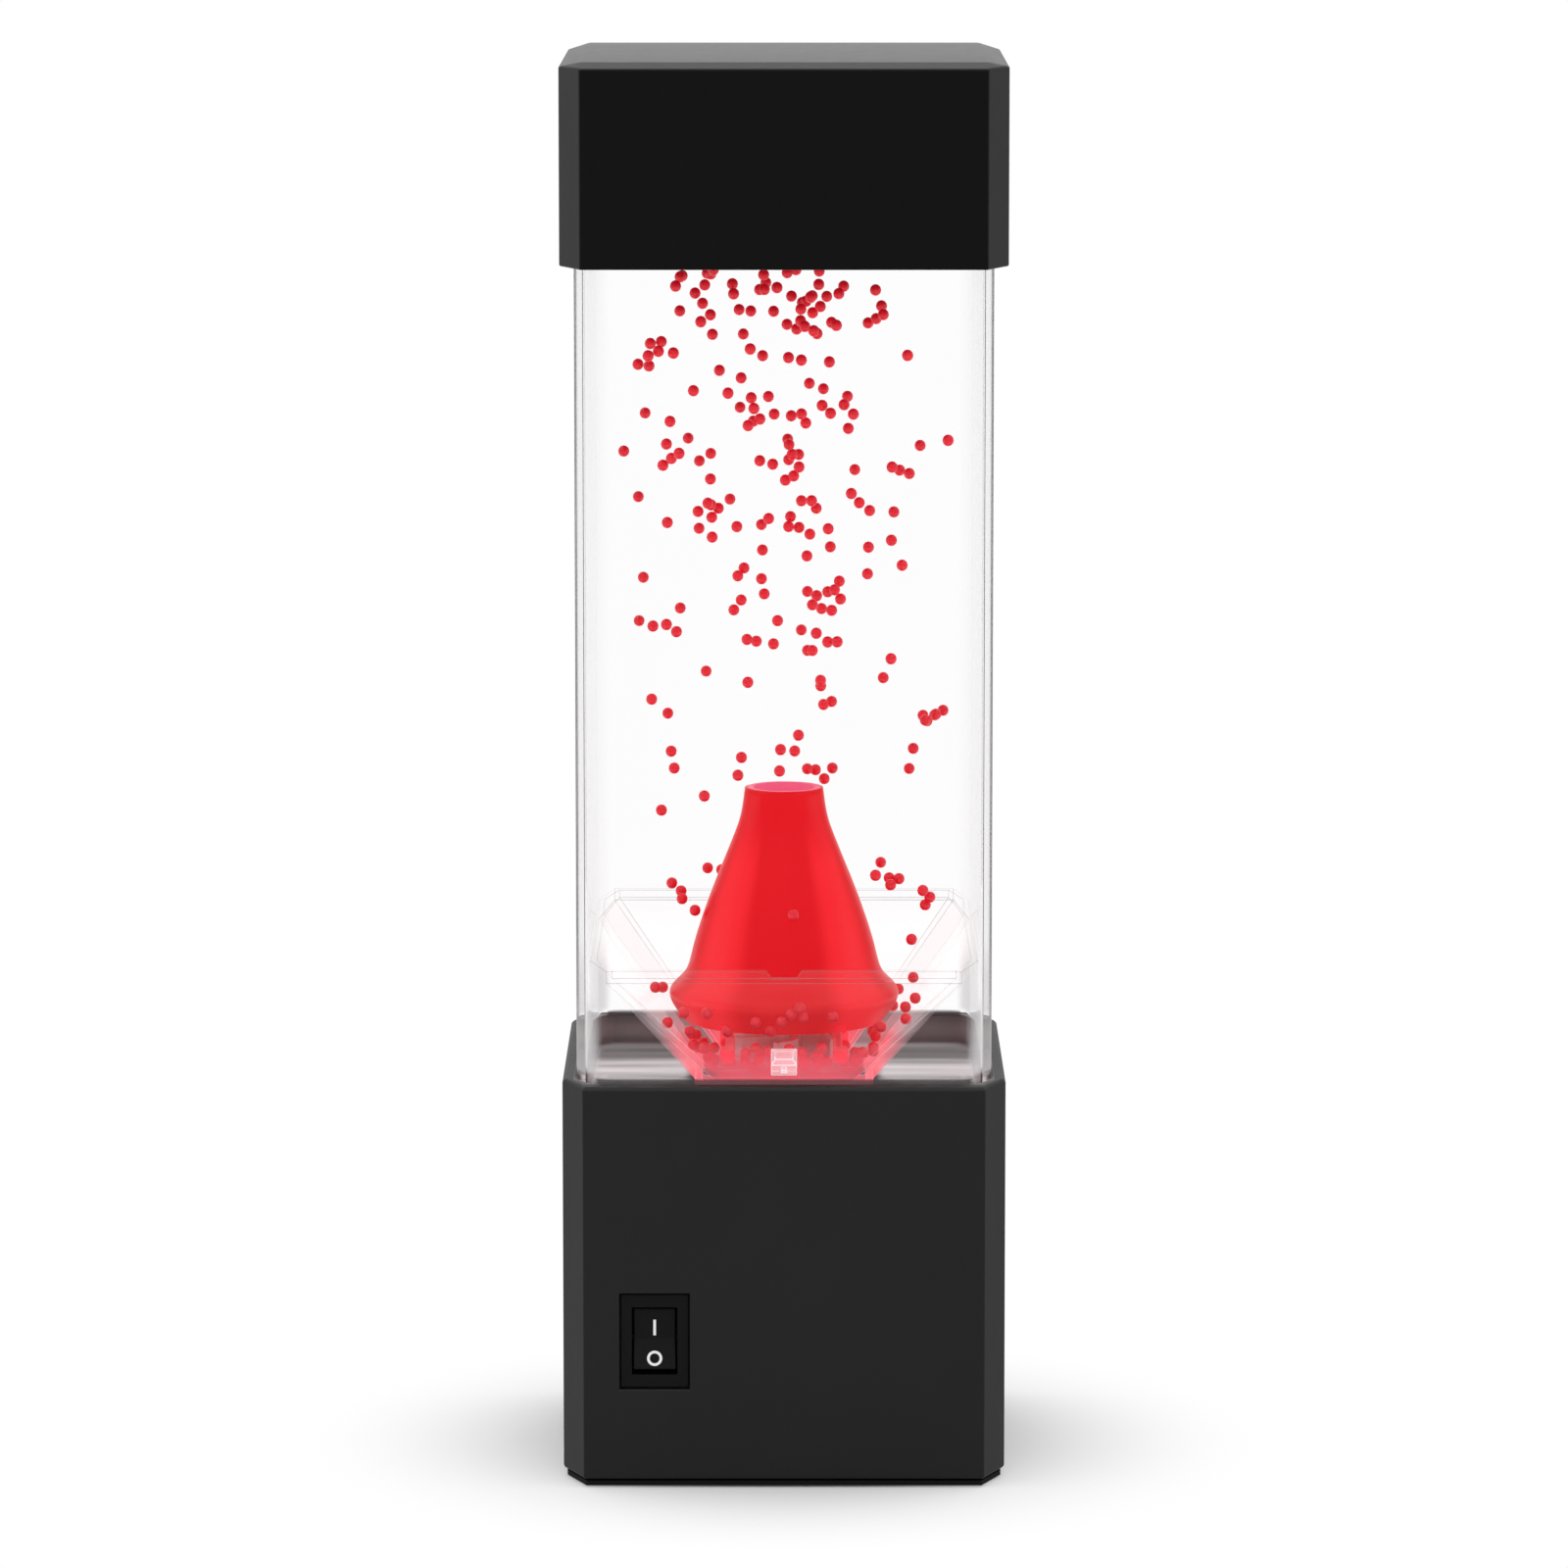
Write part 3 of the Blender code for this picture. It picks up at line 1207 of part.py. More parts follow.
def main():
    for obj in list(bpy.data.objects):
        bpy.data.objects.remove(obj)
    base_housing()
    bottom_plate()
    feet()
    bottom_screws()
    battery_door()
    cells_and_contacts()
    switch_frame()
    switch_rocker()
    switch_terminals()
    supply_inlet()
    leads()
    motor_tray()
    tray_screws()
    motor()
    drive_rotor()
    lights()
    tank()
    impeller()
    funnel()
    volcano()
    beads()
    cap()


main()
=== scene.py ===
"""Looks of the volcano bead lamp.

Its finishes, its clear and red mouldings, the beads in it and a plain studio.
"""

import json
import math
import random

import bmesh
import bpy
from mathutils import Matrix, Vector


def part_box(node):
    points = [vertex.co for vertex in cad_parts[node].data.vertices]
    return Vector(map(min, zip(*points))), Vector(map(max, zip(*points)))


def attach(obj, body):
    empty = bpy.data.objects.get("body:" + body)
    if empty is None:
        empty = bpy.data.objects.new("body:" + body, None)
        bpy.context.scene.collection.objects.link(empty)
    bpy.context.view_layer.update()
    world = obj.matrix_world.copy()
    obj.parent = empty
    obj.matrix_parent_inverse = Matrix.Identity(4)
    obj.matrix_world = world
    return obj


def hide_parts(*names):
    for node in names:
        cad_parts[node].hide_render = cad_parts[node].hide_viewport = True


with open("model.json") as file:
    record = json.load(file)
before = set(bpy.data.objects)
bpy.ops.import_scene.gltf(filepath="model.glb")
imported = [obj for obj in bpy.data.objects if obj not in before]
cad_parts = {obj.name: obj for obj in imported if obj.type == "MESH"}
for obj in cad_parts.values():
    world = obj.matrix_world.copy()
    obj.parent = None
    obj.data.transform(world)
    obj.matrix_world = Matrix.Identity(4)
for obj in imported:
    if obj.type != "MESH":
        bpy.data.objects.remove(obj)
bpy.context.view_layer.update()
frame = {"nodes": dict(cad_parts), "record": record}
scene = bpy.context.scene
scene.view_settings.view_transform = "Standard"

# Camera, at the photograph's distance, height and tilt
CAMERA_PLACE = (0.0, -1.2415, 0.2851)
CAMERA_TILT = math.radians(81.854)
LENS = 179.4
SENSOR = 36
FARTHEST_SEEN = 20
camera = bpy.data.objects.new("camera", bpy.data.cameras.new("camera"))
camera.location = CAMERA_PLACE
camera.rotation_euler = (CAMERA_TILT, 0, 0)
camera.data.lens = LENS
camera.data.sensor_width = SENSOR
camera.data.clip_end = FARTHEST_SEEN
scene.collection.objects.link(camera)
scene.camera = camera


# Tools for finishes


class Value:
    """What a node gives out, with its sums written as plain expressions."""

    def __init__(self, nodes, socket):
        self.nodes = nodes
        self.socket = socket

    def sum(self, operation, *values):
        return self.nodes.add("Math", {"operation": operation}, dict(enumerate(values)))

    def __add__(self, other):
        return self.sum("ADD", self, other)

    def __radd__(self, other):
        return self.sum("ADD", other, self)

    def __sub__(self, other):
        return self.sum("SUBTRACT", self, other)

    def __rsub__(self, other):
        return self.sum("SUBTRACT", other, self)

    def __mul__(self, other):
        return self.sum("MULTIPLY", self, other)

    def __rmul__(self, other):
        return self.sum("MULTIPLY", other, self)

    def __truediv__(self, other):
        return self.sum("DIVIDE", self, other)

    def __abs__(self):
        return self.sum("ABSOLUTE", self)

    def largest(self, other):
        return self.sum("MAXIMUM", self, other)

    def rising(self, low, high):
        """From 0 at one of this value's levels, smoothly to 1 at another."""
        levels = {"Value": self, "From Min": low, "From Max": high}
        return self.nodes.add("MapRange", {"interpolation_type": "SMOOTHSTEP"}, levels)

    def parts(self):
        """The X, Y and Z of a place."""
        return [self.nodes.add("SeparateXYZ", {}, {"Vector": self}, axis) for axis in "XYZ"]


class Nodes:
    """The nodes of a material or of the studio's surroundings."""

    def __init__(self, owner):
        owner.use_nodes = True
        self.tree = owner.node_tree

    def feed(self, node, sockets):
        for name, value in sockets.items():
            if isinstance(value, Value):
                self.tree.links.new(value.socket, node.inputs[name])
            else:
                node.inputs[name].default_value = value

    def add(self, kind, settings, sockets, output=0):
        """Adds a node with its settings and the values or links of its sockets, and gives one output."""
        node = self.tree.nodes.new("ShaderNode" + kind)
        for name, value in settings.items():
            setattr(node, name, value)
        self.feed(node, sockets)
        return Value(self, node.outputs[output])


class Finish(Nodes):
    """A material of the lamp: its constant sockets, and what its nodes work out for the others."""

    def __init__(self, name, **constants):
        self.material = bpy.data.materials.new(name)
        super().__init__(self.material)
        self.shader = self.tree.nodes["Principled BSDF"]
        self.paint(**constants)

    def paint(self, **sockets):
        self.feed(self.shader, {name.replace("_", " "): value for name, value in sockets.items()})
        return self.material

    def show(self, shader):
        self.feed(self.tree.nodes["Material Output"], {"Surface": shader})
        return self.material

    def look(self):
        return Value(self, self.shader.outputs[0])

    def place(self):
        return self.add("TexCoord", {}, {}, "Object")

    def grain(self, scale, detail=2.0, stretch=(1, 1, 1)):
        """Noise from 0 to 1 with this many grains to the metre."""
        place = self.add("Mapping", {}, {"Vector": self.place(), "Scale": stretch})
        return self.add("TexNoise", {}, {"Vector": place, "Scale": scale, "Detail": detail})

    def blend(self, first, second, share):
        """A colour between two."""
        pair = [colour if isinstance(colour, Value) else (*colour, 1) for colour in (first, second)]
        return self.add("Mix", {"data_type": "RGBA"}, {0: share, 6: pair[0], 7: pair[1]}, 2)

    def bump(self, height, depth, strength):
        return self.add("Bump", {}, {"Height": height, "Distance": depth, "Strength": strength})

    def mixed(self, share, first, second):
        """A shader between two."""
        return self.add("MixShader", {}, {0: share, 1: first, 2: second})

    def flat(self, kind, colour):
        """A shader of one colour."""
        return self.add(kind, {}, {"Color": (*colour, 1)})

    def edge_on(self):
        """From 0 where clear plastic faces the eye to 1 where it is seen along its wall."""
        return self.add("LayerWeight", {}, {"Blend": 0.5}, "Facing")

    def let_light_through(self, look):
        """Light falls through a clear piece as if it were not there."""
        clear = self.add("BsdfTransparent", {}, {})
        to_a_light = self.add("LightPath", {}, {}, "Is Shadow Ray")
        return self.show(self.mixed(to_a_light, look, clear))


# Finishes

# Where they change, in metres: each change runs from the first place to the second
RECESS_SIDE = (0.03315, 0.03330)
RECESS_FRONT = (0.03235, 0.03250)
RECESS_CORNER = (0.0316, 0.0260)
RECESS_FOOT = (0.0560, 0.0590)
RECESS_MIDDLE = (0.0594, 0.0614)
RECESS_TOP = (0.0618, 0.0640)
BESIDE_FUNNEL = (0.0145, 0.0165)
FLOOR_TOP = (0.0594, 0.0599)
LIGHTS_FRONT = (0.0005, 0.0105)
LIGHTS_BACK = (0.013, 0.022)
WALL_FOOT = (0.0605, 0.0615)
WALL_CORNER = ((0.0268, 0.0276), (0.0243, 0.0253))
WALL_OUTSIDE = ((0.0316, 0.0322), (0.0308, 0.0314))
RIM_FOOT = (0.0640, 0.0643)
RIM_TOP = (0.0648, 0.0653)
STRIP_CORNER = ((0.0284, 0.0308), (0.0225, 0.0250))
STRIP_FOOT = (0.0653, 0.0660)
STRIP_TOP = (0.0710, 0.0790)
TONE_CHANGE = (0.068, 0.078)
BEADS_TOP = (0.0660, 0.0700)
BLUSH_TOP = (0.0620, 0.0690)
HAZE_FRONT = (-0.016, -0.004)
HAZE_TOP = (0.0780, 0.0830)
LIT_FLANK_TOP = (0.094, 0.104)
CRATER_FOOT = (0.1036, 0.1054)
LEG_FADE = (0.0655, 0.0672)
LED_HEIGHT = (0.0527, 0.0567)

# Other levels between which they change: of a slant across the recess's corner, of a square in millimetres,
# of closeness to a light, of noise and of what edge_on gives
CORNER_SLANT = (290, 110)
CORNER_PASSED = (0.65, 0.75)
TO_SQUARE_MM = 1e6
CRATER_SQUARE = (31, 37)
OVER_A_LIGHT = (0.68, 0.96)
STREAK = (0.30, 0.70)
PALE_EDGE = (0.10, 0.40)
DARK_EDGE = (0.64, 0.80)
HAZY_EDGE = (0.25, 0.75)


def moulded_black(name, dark, light, gloss, shine, recess=0.0):
    """Black plastic with the fine texture of a spark-eroded mould, with painted light: paler where the tank
    lights its recess.
    """
    finish = Finish(name, Specular_IOR_Level=shine)
    cloud = finish.grain(45, 3)
    texture = finish.grain(7000, 2)
    rub = finish.grain(420, 4, (1, 1, 0.25))
    x, y, z = finish.place().parts()
    x = abs(x)
    y = abs(y)
    slant = (x - RECESS_CORNER[0]) * CORNER_SLANT[0] + (y - RECESS_CORNER[1]) * CORNER_SLANT[1]
    within_sides = (1 - x.rising(*RECESS_SIDE)) * (1 - y.rising(*RECESS_FRONT))
    within_corners = 1 - slant.rising(*CORNER_PASSED)
    # Painted light in the recess under the tank, strongest partway up its walls
    glow = z.rising(*RECESS_FOOT) + 0.8 * z.rising(*RECESS_MIDDLE) - 0.8 * z.rising(*RECESS_TOP)
    lit = 0.9 * recess * within_sides * within_corners * glow
    black = finish.blend((dark,) * 3, (light,) * 3, cloud)
    return finish.paint(
        Base_Color=finish.blend(black, (0.40, 0.37, 0.375), lit),
        Roughness=gloss + 0.08 * texture + 0.06 * rub,
        Normal=finish.bump(texture, 0.00003, 0.4),
    )


def tank_clear():
    """Polished clear plastic with thin grey lines for edges, which are painted shade, and a floor that glows
    with painted light from the lights below.

    It has pale strips of painted light in the corners of its foot and a dark band where it meets the base,
    which is a painted reflection of the base's black rim.
    """
    finish = Finish("tank_clear", Transmission_Weight=1.0, IOR=1.04)
    flow = finish.grain(60, 2, (1, 1, 0.3))
    finish.paint(
        Base_Color=finish.blend((0.997, 0.995, 0.996), (0.990, 0.987, 0.989), flow), Roughness=0.02 * flow
    )
    x, y, z = finish.place().parts()
    x_out = abs(x)
    y_out = abs(y)
    # Painted light: the floor beside the funnel glows in streaks over the lights below
    light_streak = finish.grain(70, 2, (0.4, 4, 1)).rising(*STREAK)
    beside_funnel = x_out.largest(y_out).rising(*BESIDE_FUNNEL)
    on_the_floor = 1 - z.rising(*FLOOR_TOP)
    over_the_lights = y.rising(*LIGHTS_FRONT) * (1 - 0.82 * y.rising(*LIGHTS_BACK))
    lit = (0.27 + 0.33 * light_streak) * beside_funnel * on_the_floor * over_the_lights
    look = finish.mixed(lit, finish.look(), finish.flat("Emission", (1.0, 0.92, 0.93)))
    # Painted shade: a faint grey where the upright walls are seen edge-on, and dark lines along the outside
    # of the corners
    edge_on = finish.edge_on()
    upright = z.rising(*WALL_FOOT)
    painted_grey_edge = 0.05 * upright * edge_on.rising(*PALE_EDGE)
    look = finish.mixed(painted_grey_edge, look, finish.flat("BsdfDiffuse", (0.42, 0.41, 0.415)))
    corner = x_out.rising(*WALL_CORNER[0]) * y_out.rising(*WALL_CORNER[1])
    outside = x_out.rising(*WALL_OUTSIDE[0]).largest(y_out.rising(*WALL_OUTSIDE[1]))
    painted_dark_edge = 0.55 * upright * corner * outside * edge_on.rising(*DARK_EDGE)
    look = finish.mixed(painted_dark_edge, look, finish.flat("BsdfDiffuse", (0.16, 0.16, 0.165)))
    # Painted reflection of the base's black rim: a dark band at the foot of the outer walls
    painted_rim_reflection = 0.85 * outside * z.rising(*RIM_FOOT) * (1 - z.rising(*RIM_TOP))
    look = finish.mixed(painted_rim_reflection, look, finish.flat("BsdfDiffuse", (0.095, 0.082, 0.085)))
    # Painted light: pale glowing strips in the corners of the foot, above the rim
    painted_corner_light = x_out.rising(*STRIP_CORNER[0]) * y_out.rising(*STRIP_CORNER[1])
    painted_corner_light = 0.50 * painted_corner_light * z.rising(*STRIP_FOOT) * (1 - z.rising(*STRIP_TOP))
    look = finish.mixed(painted_corner_light, look, finish.flat("Emission", (0.64, 0.62, 0.625)))
    return finish.let_light_through(look)


def thin_clear(name, low_tone, high_tone, shown, painted_haze=0.0, painted_bead_glow=0.0):
    """Thin clear plastic in water, which hardly bends light, drawn as a see-through mix with a glowing tone:
    painted light.

    Its tone changes with its height. It has a painted haze of light behind the volcano, stronger where its
    wall is seen edge-on, and a painted red glow of the beads at its foot.
    """
    finish = Finish(name, Roughness=0.2, Specular_IOR_Level=0.1, Emission_Strength=0.5)
    flow = finish.grain(110, 2)
    _, y, z = finish.place().parts()
    tone = finish.blend(low_tone, high_tone, z.rising(*TONE_CHANGE))
    # Painted light: a red glow of the beads near the funnel's foot
    painted_bead_glow_share = painted_bead_glow * (1 - z.rising(*BEADS_TOP))
    finish.paint(
        Base_Color=finish.blend(tone, (0.82, 0.06, 0.12), painted_bead_glow_share),
        Emission_Color=finish.blend(tone, (1.0, 0.03, 0.10), painted_bead_glow_share),
    )
    clear = finish.flat("BsdfTransparent", (0.997, 0.993, 0.994))
    through_the_wall = 0.3 + 0.7 * finish.edge_on().rising(*HAZY_EDGE)
    # Painted light: a haze behind the volcano, stronger where the wall is seen edge-on
    behind = painted_haze * through_the_wall * y.rising(*HAZE_FRONT) * (1 - z.rising(*HAZE_TOP))
    share = shown * (0.7 + 0.6 * flow) + behind + 0.70 * painted_bead_glow * (1 - z.rising(*BLUSH_TOP))
    return finish.show(finish.mixed(share, clear, finish.look()))


def volcano_red():
    """Translucent red that glows with painted light, brighter over the four lights below, with a pale pink
    crater of painted light.
    """
    finish = Finish("volcano_red", Specular_IOR_Level=0.10, Coat_Roughness=0.10, Emission_Strength=0.45)
    flow = finish.grain(90, 3, (1, 1, 0.35))
    x, y, z = finish.place().parts()
    from_axis = x * x + y * y
    # Painted light: the flanks over the four lights below and the inside of the crater glow brighter
    over_a_light = (2 * abs(x * y) / from_axis).rising(*OVER_A_LIGHT) * (1 - z.rising(*LIT_FLANK_TOP))
    crater = z.rising(*CRATER_FOOT) * (1 - (from_axis * TO_SQUARE_MM).rising(*CRATER_SQUARE))
    red = finish.blend((0.58, 0.003, 0.008), (0.66, 0.006, 0.014), flow)
    lit_red = finish.blend(red, (1.0, 0.030, 0.044), over_a_light)
    return finish.paint(
        Base_Color=finish.blend((0.50, 0.002, 0.005), (0.56, 0.003, 0.007), flow),
        Roughness=0.34 + 0.12 * flow,
        Coat_Weight=0.10 + 0.12 * flow,
        Emission_Color=finish.blend(lit_red, (1.0, 0.22, 0.44), crater),
        Normal=finish.bump(flow, 0.0001, 0.3),
    )


def leg_red():
    """Clear red plastic, deeper in colour at the foot, with a faint glow of painted light."""
    finish = Finish("leg_red", Roughness=0.3, Specular_IOR_Level=0.1, Emission_Strength=0.28)
    flow = finish.grain(200, 2)
    height = finish.place().parts()[2]
    red = finish.blend((0.86, 0.012, 0.035), (0.94, 0.022, 0.050), flow)
    finish.paint(Base_Color=red, Emission_Color=red)
    clear = finish.flat("BsdfTransparent", (0.97, 0.80, 0.82))
    share = 0.22 + 0.66 * (1 - height.rising(*LEG_FADE))
    return finish.show(finish.mixed(share, clear, finish.look()))


def bead_red():
    # The beads glow a little: painted light, which brightens them inside the tank
    finish = Finish("bead_red", Emission_Strength=0.24)
    speck = finish.grain(260, 2)
    return finish.paint(
        Base_Color=finish.blend((0.58, 0.006, 0.016), (0.70, 0.012, 0.028), speck),
        Roughness=0.24 + 0.12 * speck,
        Emission_Color=finish.blend((0.7, 0.005, 0.016), (0.8, 0.010, 0.025), speck),
    )


def plain_moulding(name, colour, shade, gloss, scale=900.0):
    finish = Finish(name)
    grain = finish.grain(scale, 3)
    return finish.paint(
        Base_Color=finish.blend(colour, shade, grain),
        Roughness=gloss + 0.12 * grain,
        Normal=finish.bump(grain, 0.00003, 0.4),
    )


def bright_metal(name, colour, shade, gloss):
    finish = Finish(name, Metallic=1.0)
    brush = finish.grain(2600, 3)
    return finish.paint(
        Base_Color=finish.blend(colour, shade, brush),
        Roughness=gloss + 0.15 * brush,
        Normal=finish.bump(brush, 0.00001, 0.4),
    )


def led_glow():
    finish = Finish("led_glow", Emission_Strength=0.15, Roughness=0.2)
    rise = finish.place().parts()[2].rising(*LED_HEIGHT)
    return finish.paint(
        Base_Color=finish.blend((0.75, 0.60, 0.58), (0.80, 0.72, 0.70), rise),
        Emission_Color=finish.blend((0.9, 0.40, 0.42), (1.0, 0.75, 0.72), rise),
    )


BASE_BLACK = moulded_black("base_black", 0.0145, 0.0175, 0.42, 0.38, recess=0.42)
# The bottom plate and battery door get a darker copy of the black plastic: painted shade at the base's foot
PLATE_SHADED_BLACK = moulded_black("plate_shaded_black", 0.0070, 0.0090, 0.60, 0.14)
CAP_BLACK = moulded_black("cap_black", 0.0040, 0.0055, 0.30, 0.38)
SWITCH_BLACK = moulded_black("switch_black", 0.0052, 0.0072, 0.34, 0.42)
TANK_CLEAR = tank_clear()
# The funnel and lug glow with painted light; the funnel's edges are pale low down and dark high up, painted
# light and shade
FUNNEL_CLEAR = thin_clear(
    "funnel_clear", (0.85, 0.76, 0.775), (0.82, 0.79, 0.795), 0.007, painted_haze=0.22, painted_bead_glow=0.8
)
FUNNEL_CORNER = thin_clear("funnel_corner", (0.82, 0.66, 0.69), (0.62, 0.56, 0.57), 0.11)
FUNNEL_EDGE = thin_clear("funnel_edge", (0.92, 0.74, 0.77), (0.17, 0.13, 0.14), 0.84, painted_bead_glow=0.4)
LUG_CLEAR = thin_clear("lug_clear", (0.80, 0.62, 0.65), (0.80, 0.62, 0.65), 0.34)
LUG_EDGE = thin_clear("lug_edge", (0.95, 0.82, 0.84), (0.95, 0.82, 0.84), 0.80)
VOLCANO_RED = volcano_red()
LEG_RED = leg_red()
BEAD_RED = bead_red()
FOOT_RUBBER = plain_moulding("foot_rubber", (0.018, 0.018, 0.018), (0.028, 0.028, 0.028), 0.78)
SEAL_GREY = plain_moulding("seal_grey", (0.60, 0.62, 0.64), (0.66, 0.68, 0.70), 0.55)
MOULDED_WHITE = plain_moulding("moulded_white", (0.70, 0.66, 0.65), (0.76, 0.72, 0.71), 0.42)
CELL_WRAP = plain_moulding("cell_wrap", (0.09, 0.11, 0.15), (0.13, 0.15, 0.19), 0.30, 300.0)
SOLDER_MASK = plain_moulding("solder_mask", (0.025, 0.18, 0.07), (0.035, 0.23, 0.09), 0.42, 1500.0)
LEAD_WRAP = plain_moulding("lead_wrap", (0.42, 0.018, 0.018), (0.50, 0.024, 0.024), 0.50)
PLATED_STEEL = bright_metal("plated_steel", (0.56, 0.57, 0.58), (0.66, 0.67, 0.68), 0.24)
SINTERED_MAGNET = bright_metal("sintered_magnet", (0.18, 0.18, 0.19), (0.26, 0.26, 0.27), 0.36)
BRASS = bright_metal("brass", (0.70, 0.50, 0.19), (0.78, 0.58, 0.26), 0.26)
LED_GLOW = led_glow()
MARK_WHITE = plain_moulding("mark_white", (0.78, 0.78, 0.78), (0.86, 0.86, 0.86), 0.45, 4000.0)

FINISH_OF_SLOT = {
    "black_plastic": BASE_BLACK,
    "switch_plastic": SWITCH_BLACK,
    "clear_plastic": TANK_CLEAR,
    "red_plastic": VOLCANO_RED,
    "bead_plastic": BEAD_RED,
    "rubber": FOOT_RUBBER,
    "silicone": SEAL_GREY,
    "white_plastic": MOULDED_WHITE,
    "steel": PLATED_STEEL,
    "magnet": SINTERED_MAGNET,
    "brass": BRASS,
    "cell_wrap": CELL_WRAP,
    "board": SOLDER_MASK,
    "led_lens": LED_GLOW,
    "lead_wrap": LEAD_WRAP,
}
FINISH_OF_NODE = {"bottom_plate": PLATE_SHADED_BLACK, "battery_door": PLATE_SHADED_BLACK, "cap_plug": CAP_BLACK}
for subpart in frame["record"]["subparts"]:
    node = subpart["node"]
    materials = frame["nodes"][node].data.materials
    materials.clear()
    materials.append(FINISH_OF_NODE.get(node, FINISH_OF_SLOT[subpart["material_slot"]]))


# Tools for pieces
WELD = 1e-7
CAD_WELD = 1e-6
FLAT_ANGLE = math.radians(1)
SHARP_ANGLE = math.radians(12)
CRISP = math.radians(5)
PLAIN = math.radians(30)
SOFT = math.radians(40)
ALL_SMOOTH = math.pi
SKIN_SEGMENTS = 3


def piece(name, form, finish, body, slot, *nodes, smooth=PLAIN):
    """A finished piece that rides on a body and stands for these nodes."""
    bmesh.ops.remove_doubles(form, verts=form.verts, dist=WELD)
    bmesh.ops.recalc_face_normals(form, faces=form.faces)
    mesh = bpy.data.meshes.new(name)
    form.to_mesh(mesh)
    form.free()
    mesh.materials.append(finish)
    mesh.shade_smooth()
    mesh.set_sharp_from_angle(angle=smooth)
    made = bpy.data.objects.new(name, mesh)
    scene.collection.objects.link(made)
    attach(made, body)
    if nodes:
        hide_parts(*nodes)
    return made


def plate(form, half_x, half_y, cut_x, cut_y, z, steps=1):
    """A flat face, its corners rounded in several steps or cut off in one."""
    stretch = cut_y / cut_x
    corners = bmesh.ops.create_grid(form, x_segments=1, y_segments=1, size=1)["verts"]
    bmesh.ops.scale(form, vec=(half_x * stretch, half_y, 1), verts=corners)
    bmesh.ops.bevel(
        form, geom=corners, offset=cut_y, segments=steps, profile=0.5, affect="VERTICES", material=-1
    )
    flat = next(face for face in form.faces if all(point.co.z == 0 for point in face.verts))
    bmesh.ops.scale(form, vec=(1 / stretch, 1, 1), verts=flat.verts)
    bmesh.ops.translate(form, vec=(0, 0, z), verts=flat.verts)
    return flat


def drawn_out(form, face, way):
    """Draws a face out and gives the face at the new end."""
    made = bmesh.ops.extrude_face_region(form, geom=[face])["geom"]
    points = [item for item in made if isinstance(item, bmesh.types.BMVert)]
    bmesh.ops.translate(form, vec=way, verts=points)
    bmesh.ops.delete(form, geom=[face], context="FACES_ONLY")
    return next(item for item in made if isinstance(item, bmesh.types.BMFace))


def rounded(form, edges, radius, segments=2):
    """Rounds edges and gives the faces that this makes."""
    made = bmesh.ops.bevel(
        form,
        geom=edges,
        offset=radius,
        segments=segments,
        profile=0.5,
        affect="EDGES",
        clamp_overlap=True,
        material=-1,
    )
    return made["faces"]


def sharp_edges(form):
    shared = [edge for edge in form.edges if len(edge.link_faces) == 2]
    return [edge for edge in shared if abs(edge.calc_face_angle_signed()) > SHARP_ANGLE]


def softened(node, radius, picked):
    """The form of a solid with the outer edges among picked points rounded off."""
    form = bmesh.new()
    form.from_mesh(frame["nodes"][node].data)
    bmesh.ops.remove_doubles(form, verts=form.verts, dist=CAD_WELD)
    bmesh.ops.dissolve_limit(form, angle_limit=FLAT_ANGLE, verts=form.verts, edges=form.edges)
    outer = [edge for edge in sharp_edges(form) if edge.is_convex]
    chosen = [edge for edge in outer if all(picked(point.co) for point in edge.verts)]
    rounded(form, chosen, radius, SKIN_SEGMENTS)
    return form


def spun(form, steps):
    """Spins an outline about the upright axis."""
    bmesh.ops.spin(
        form,
        geom=form.verts[:] + form.edges[:],
        axis=(0, 0, 1),
        cent=(0, 0, 0),
        angle=2 * math.pi,
        steps=steps,
        use_merge=True,
    )


# Base and cap
BASE_EDGE = 0.00022
CAP_EDGE = 0.00028
SKIN_OUT = 0.0344
CAP_TOP_DEPTH = 0.0005


def on_the_skin(point):
    return max(abs(point.x), abs(point.y)) > SKIN_OUT


def on_the_cap(point):
    return on_the_skin(point) or point.z > cap_top - CAP_TOP_DEPTH


base_form = softened("base_housing", BASE_EDGE, on_the_skin)
piece("base_skin", base_form, BASE_BLACK, "lamp_body", "black_plastic", "base_housing", smooth=CRISP)
cap_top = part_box("cap_shell")[1].z
cap_form = softened("cap_shell", CAP_EDGE, on_the_cap)
piece("cap_skin", cap_form, CAP_BLACK, "cap", "black_plastic", "cap_shell", smooth=CRISP)

# Switch markings
SWITCH_AXIS = Vector((-0.0204, -0.0318, 0.0236))
SWITCH_TILT = Matrix.Rotation(math.radians(-7), 4, "X")
FACE_OUT = 0.0020
FACE_SLANT = math.radians(7)
MARK_THICKNESS = 0.00008
LINE_SIZE = (0.00042, 0.0025)
LINE_UP = 0.0018
RING_WIDTH = 0.00042
RING_RADIUS = 0.00099
RING_UP = -0.0031
RING_STEPS = 40
UPRIGHT = Matrix.Rotation(math.radians(90), 3, "X")


def on_the_rocker(form, up):
    """Moves a flat mark, drawn about the origin and facing -Y, onto the upper or lower half of the rocker."""
    slant = Matrix.Rotation(math.copysign(FACE_SLANT, up), 4, "X")
    on_its_face = Matrix.Translation((0, -FACE_OUT, 0)) @ slant @ Matrix.Translation((0, 0, up))
    lie = Matrix.Translation(SWITCH_AXIS) @ SWITCH_TILT @ on_its_face
    bmesh.ops.transform(form, matrix=lie, verts=form.verts)
    return form


